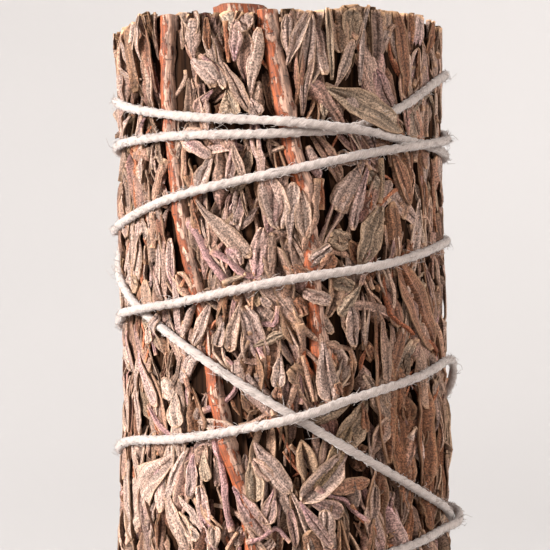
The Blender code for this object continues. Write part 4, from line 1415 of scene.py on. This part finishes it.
def grow_hair(growth, root, lie, out, length, radius, rng):
    """A loose fibre that leaves the string and bends over."""
    s = np.linspace(0, 1, 3)[:, None]
    sway = np.cross(lie, out) * rng.normal(0, 0.5)
    path = root + length * (lie * s + out * (0.75 * s - 0.45 * s**2) + sway * s**2)
    rings = tube_rings(path, radius * np.array([1, 0.95, 0.6]), 3)
    growth.add(rings, rings / MM, (0, 0, 0, 0))


# ---------------------------------------------------------------------------------------------------------
# Operators


class SAGE_OT_inner_sprigs(Operator):
    """Pack the sprigs inside the bundle, which show in the saw cuts"""

    bl_idname = "sage.inner_sprigs"
    bl_label = "Inner Sprigs"

    def execute(self, context):
        leaves = context.scene.sage_leaves
        leaf, _, bark = finishes(context)
        rng = np.random.default_rng(leaves.seed + 1)
        for node in sorted(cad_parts):
            if "sprig" not in node or node.startswith("outer"):
                continue
            outline = base_outline(node)
            centre = outline.mean(axis=0)
            radius = rng.uniform(0.8, 1.3) * MM
            growth = Growth()
            pack_strips(growth, outline, radius + 0.35 * MM, rng, leaves)
            growth.piece(node + "_leaves", leaf, "leaf", node)
            inner_stem(centre, radius, rng).piece(node + "_stem", bark, "bark")
        return {"FINISHED"}


class SAGE_OT_outer_sprigs(Operator):
    """Lay the outer sprigs' leaves over each other, with bare stems between them"""

    bl_idname = "sage.outer_sprigs"
    bl_label = "Outer Sprigs"

    def execute(self, context):
        leaves, stems, string = context.scene.sage_leaves, context.scene.sage_stems, context.scene.sage_string
        leaf, stalk, bark = finishes(context)
        rng = np.random.default_rng(leaves.seed)
        layer = LeafLayer(leaves, string, StringLine(), rng)
        stem_growths = {}
        for number, red, bare, route in BARE_STEMS:
            growth = stem_growths.setdefault(f"outer_sprig_{number:02}", Growth())
            lay_bare_stem(layer, growth, stems.bare_radius, red, bare, route)
        leave_holes(layer)
        lay_outer_leaves(layer)
        lay_top(layer)
        for node in sorted(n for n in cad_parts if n.startswith("outer")):
            outline = base_outline(node)
            centre = outline.mean(axis=0)
            growth = layer.growths.setdefault(node, Growth())
            pack_strips(growth, outline, 1.2 * MM, rng, leaves, 0.84)
            growth.piece(node + "_leaves", leaf, "leaf", node)
            stem = stem_growths.get(node) or inner_stem(centre * 0.95, 0.9 * MM, rng)
            stem.piece(node + "_stem", bark, "bark")
            if node in layer.twigs:
                layer.twigs[node].piece(node + "_stalks", stalk, "bark")
        return {"FINISHED"}


class SAGE_OT_thick_stem(Operator):
    """Grow the one old stem that stands above the saw cut"""

    bl_idname = "sage.thick_stem"
    bl_label = "Thick Stem"

    def execute(self, context):
        stems = context.scene.sage_stems
        bark = finishes(context)[2]
        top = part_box("thick_stem")[1][2]
        centre = base_outline("thick_stem").mean(axis=0)
        path = np.array([[*turned(centre, h), h] for h in fine_steps(0.02 * MM, top, 4 * MM)])
        growth = Growth()
        rng = np.random.default_rng(5)
        grow_stem(growth, path, stems.thick_radius, 0.55, rng, sides=40, knots=60 * MM)
        growth.piece("thick_stem_wood", bark, "bark", "thick_stem")
        return {"FINISHED"}


class SAGE_OT_string(Operator):
    """Wind the cotton string round the bundle and tie it at the back"""

    bl_idname = "sage.string"
    bl_label = "String"

    def execute(self, context):
        string = context.scene.sage_string
        cotton = spun_cotton(string)
        rng = np.random.default_rng(21)
        line = StringLine()
        path, run = strand_path(line, string.ring_step)
        strand = Growth()
        grow_strand(strand, path, run, string.radius, string.lay, rng)
        strand.piece("binding_string_strand", cotton, "string", "binding_string", sharp=80)
        fuzz = Growth()
        ahead = np.gradient(path, axis=0)
        ahead /= np.linalg.norm(ahead, axis=1, keepdims=True)
        for i in rng.integers(5, len(path) - 5, string.hairs):
            away = path[i] * (1, 1, 0)
            away /= np.linalg.norm(away)
            out = away * rng.uniform(0.1, 1) + np.cross(ahead[i], away) * rng.normal(0, 0.8)
            out -= ahead[i] * out.dot(ahead[i])
            out /= np.linalg.norm(out)
            lie = ahead[i] * rng.choice((-1, 1)) * rng.uniform(0.1, 0.9)
            root = path[i] + out * string.radius * 0.85
            grow_hair(fuzz, root, lie, out, rng.gamma(2.4, 0.3) * MM, 0.03 * MM, rng)
        fuzz.piece("binding_string_fuzz", cotton, "string", sharp=180)
        knot = Growth()
        degrees, height = KNOT_PLACE
        t = np.linspace(0, 2 * math.pi, 120)
        loop = [np.sin(t) + 2 * np.sin(2 * t), np.cos(t) - 2 * np.cos(2 * t), -np.sin(3 * t)]
        loop = np.stack(loop, -1) * 0.4 * MM
        angle = math.radians(degrees)
        east = np.array([math.cos(angle), math.sin(angle), 0])
        out = np.array([math.sin(angle), -math.cos(angle), 0])
        centre = out * (STRING_LIES_AT + 0.45 * MM) + np.array([0, 0, height])
        spun = centre + loop[:, :1] * east + loop[:, 1:2] * np.array([0, 0, 1.0]) + loop[:, 2:] * out * 0.8
        grow_strand(knot, spun, run_along(spun), string.radius * 0.9, string.lay, rng)
        for side in (-1, 1):
            s = np.linspace(0, 1, 26)[:, None]
            tail = centre + east * side * 5 * MM * s + np.array([0, 0, -1.0]) * 2.2 * MM * s**2
            tail = tail + out * (0.25 * MM - 1.3 * MM * s**2)
            grow_strand(knot, tail, s[:, 0] * 5.6 * MM, string.radius * 0.95, string.lay, rng)
        knot.piece("binding_string_knot", cotton, "string", sharp=80)
        return {"FINISHED"}


class SAGE_OT_stage(Operator):
    """Set the backdrop, the lights and the camera"""

    bl_idname = "sage.stage"
    bl_label = "Stage"

    def execute(self, context):
        stage = context.scene.sage_stage
        scene = context.scene
        # A bowl of paper: a small flat floor that rises slowly into walls all round.
        floor, bend, top = 0.3, 1.4, 2.2
        profile = [(0.0, 0.0), (floor, 0.0)]
        turns = np.linspace(0.04, math.pi / 2, 36)
        profile += [(floor + bend * math.sin(a), bend - bend * math.cos(a)) for a in turns]
        profile.append((floor + bend, top))
        sides = 96
        points = [
            (r * math.cos(2 * math.pi * k / sides), r * math.sin(2 * math.pi * k / sides), z)
            for r, z in profile[1:] for k in range(sides)
        ]
        quads = []
        for low in range(0, (len(profile) - 2) * sides, sides):
            for k in range(sides):
                after, high = (k + 1) % sides, low + sides
                quads.append((low + k, low + after, high + after, high + k))
        mesh = bpy.data.meshes.new("backdrop")
        mesh.from_pydata(points, [], [*quads, list(range(sides))[::-1]])
        mesh.shade_smooth()
        mesh.materials.append(seamless_paper(stage))
        backdrop = bpy.data.objects.new("backdrop", mesh)
        scene.collection.objects.link(backdrop)

        for name, power, size, place in (
            ("key_light", stage.key_power, 0.34, (-1.03, -0.44, 0.42)),
            ("fill_light", stage.fill_power, 0.80, (0.95, -0.50, 0.35)),
            ("backdrop_light", stage.backdrop_power, 0.60, (0.30, 0.35, 1.10)),
        ):
            light = bpy.data.lights.new(name, "AREA")
            light.energy, light.size = power, size
            lamp = bpy.data.objects.new(name, light)
            lamp.location = place
            aim = np.array([0.1, 1.6, 0.8] if name == "backdrop_light" else [0, 0, 0.06]) - np.array(place)
            lamp.rotation_euler = (
                math.acos(-aim[2] / np.linalg.norm(aim)), 0, math.atan2(aim[1], aim[0]) - math.pi / 2
            )
            scene.collection.objects.link(lamp)
        world = bpy.data.worlds.new("studio_air")
        world.use_nodes = True
        world.node_tree.nodes["Background"].inputs["Color"].default_value = linear("#f6f2f0")
        world.node_tree.nodes["Background"].inputs["Strength"].default_value = stage.sky
        scene.world = world
        scene.view_settings.view_transform = "Standard"

        lens = bpy.data.cameras.new("camera")
        lens.lens, lens.sensor_width, lens.clip_start = stage.lens, 36, 0.01
        camera = bpy.data.objects.new("camera", lens)
        camera.location = stage.eye
        camera.rotation_euler = (math.pi / 2, 0, 0)
        scene.collection.objects.link(camera)
        scene.camera = camera
        return {"FINISHED"}


def finishes(context):
    """The leaf, stalk and bark materials, made once."""
    leaves, stems = context.scene.sage_leaves, context.scene.sage_stems
    known = bpy.data.materials
    leaf = known.get("dried_felted_leaf") or dried_felt(
        "dried_felted_leaf", leaves, leaves.grey, leaves.brown
    )
    stalk = known.get("dried_stalk") or dried_felt("dried_stalk", leaves, stems.stalk, stems.red)
    bark = known.get("peeling_bark") or peeling_bark(stems)
    return leaf, stalk, bark


class SAGE_PT_panel(Panel):
    """Sizes, colours and steps of the sage stick"""

    bl_label = "Sage Stick"
    bl_idname = "SAGE_PT_panel"
    bl_space_type = "VIEW_3D"
    bl_region_type = "UI"
    bl_category = "Sage Stick"

    def draw(self, context):
        layout = self.layout
        for name in SETTINGS:
            box = layout.box()
            group = getattr(context.scene, name)
            for key in group.__annotations__:
                box.prop(group, key)
        for operator in OPERATORS:
            layout.operator(operator.bl_idname)


SETTINGS = {
    "sage_leaves": LeafSettings,
    "sage_stems": StemSettings,
    "sage_string": StringSettings,
    "sage_stage": StageSettings,
}
OPERATORS = (
    SAGE_OT_inner_sprigs,
    SAGE_OT_outer_sprigs,
    SAGE_OT_thick_stem,
    SAGE_OT_string,
    SAGE_OT_stage,
)


def register():
    for group in (*SETTINGS.values(), *OPERATORS, SAGE_PT_panel):
        bpy.utils.register_class(group)
    for name, group in SETTINGS.items():
        setattr(bpy.types.Scene, name, PointerProperty(type=group))


def unregister():
    for name in SETTINGS:
        delattr(bpy.types.Scene, name)
    for group in reversed((*SETTINGS.values(), *OPERATORS, SAGE_PT_panel)):
        bpy.utils.unregister_class(group)


def main():
    register()
    bpy.ops.sage.inner_sprigs()
    bpy.ops.sage.outer_sprigs()
    bpy.ops.sage.thick_stem()
    bpy.ops.sage.string()
    bpy.ops.sage.stage()


if __name__ == "__main__":
    main()
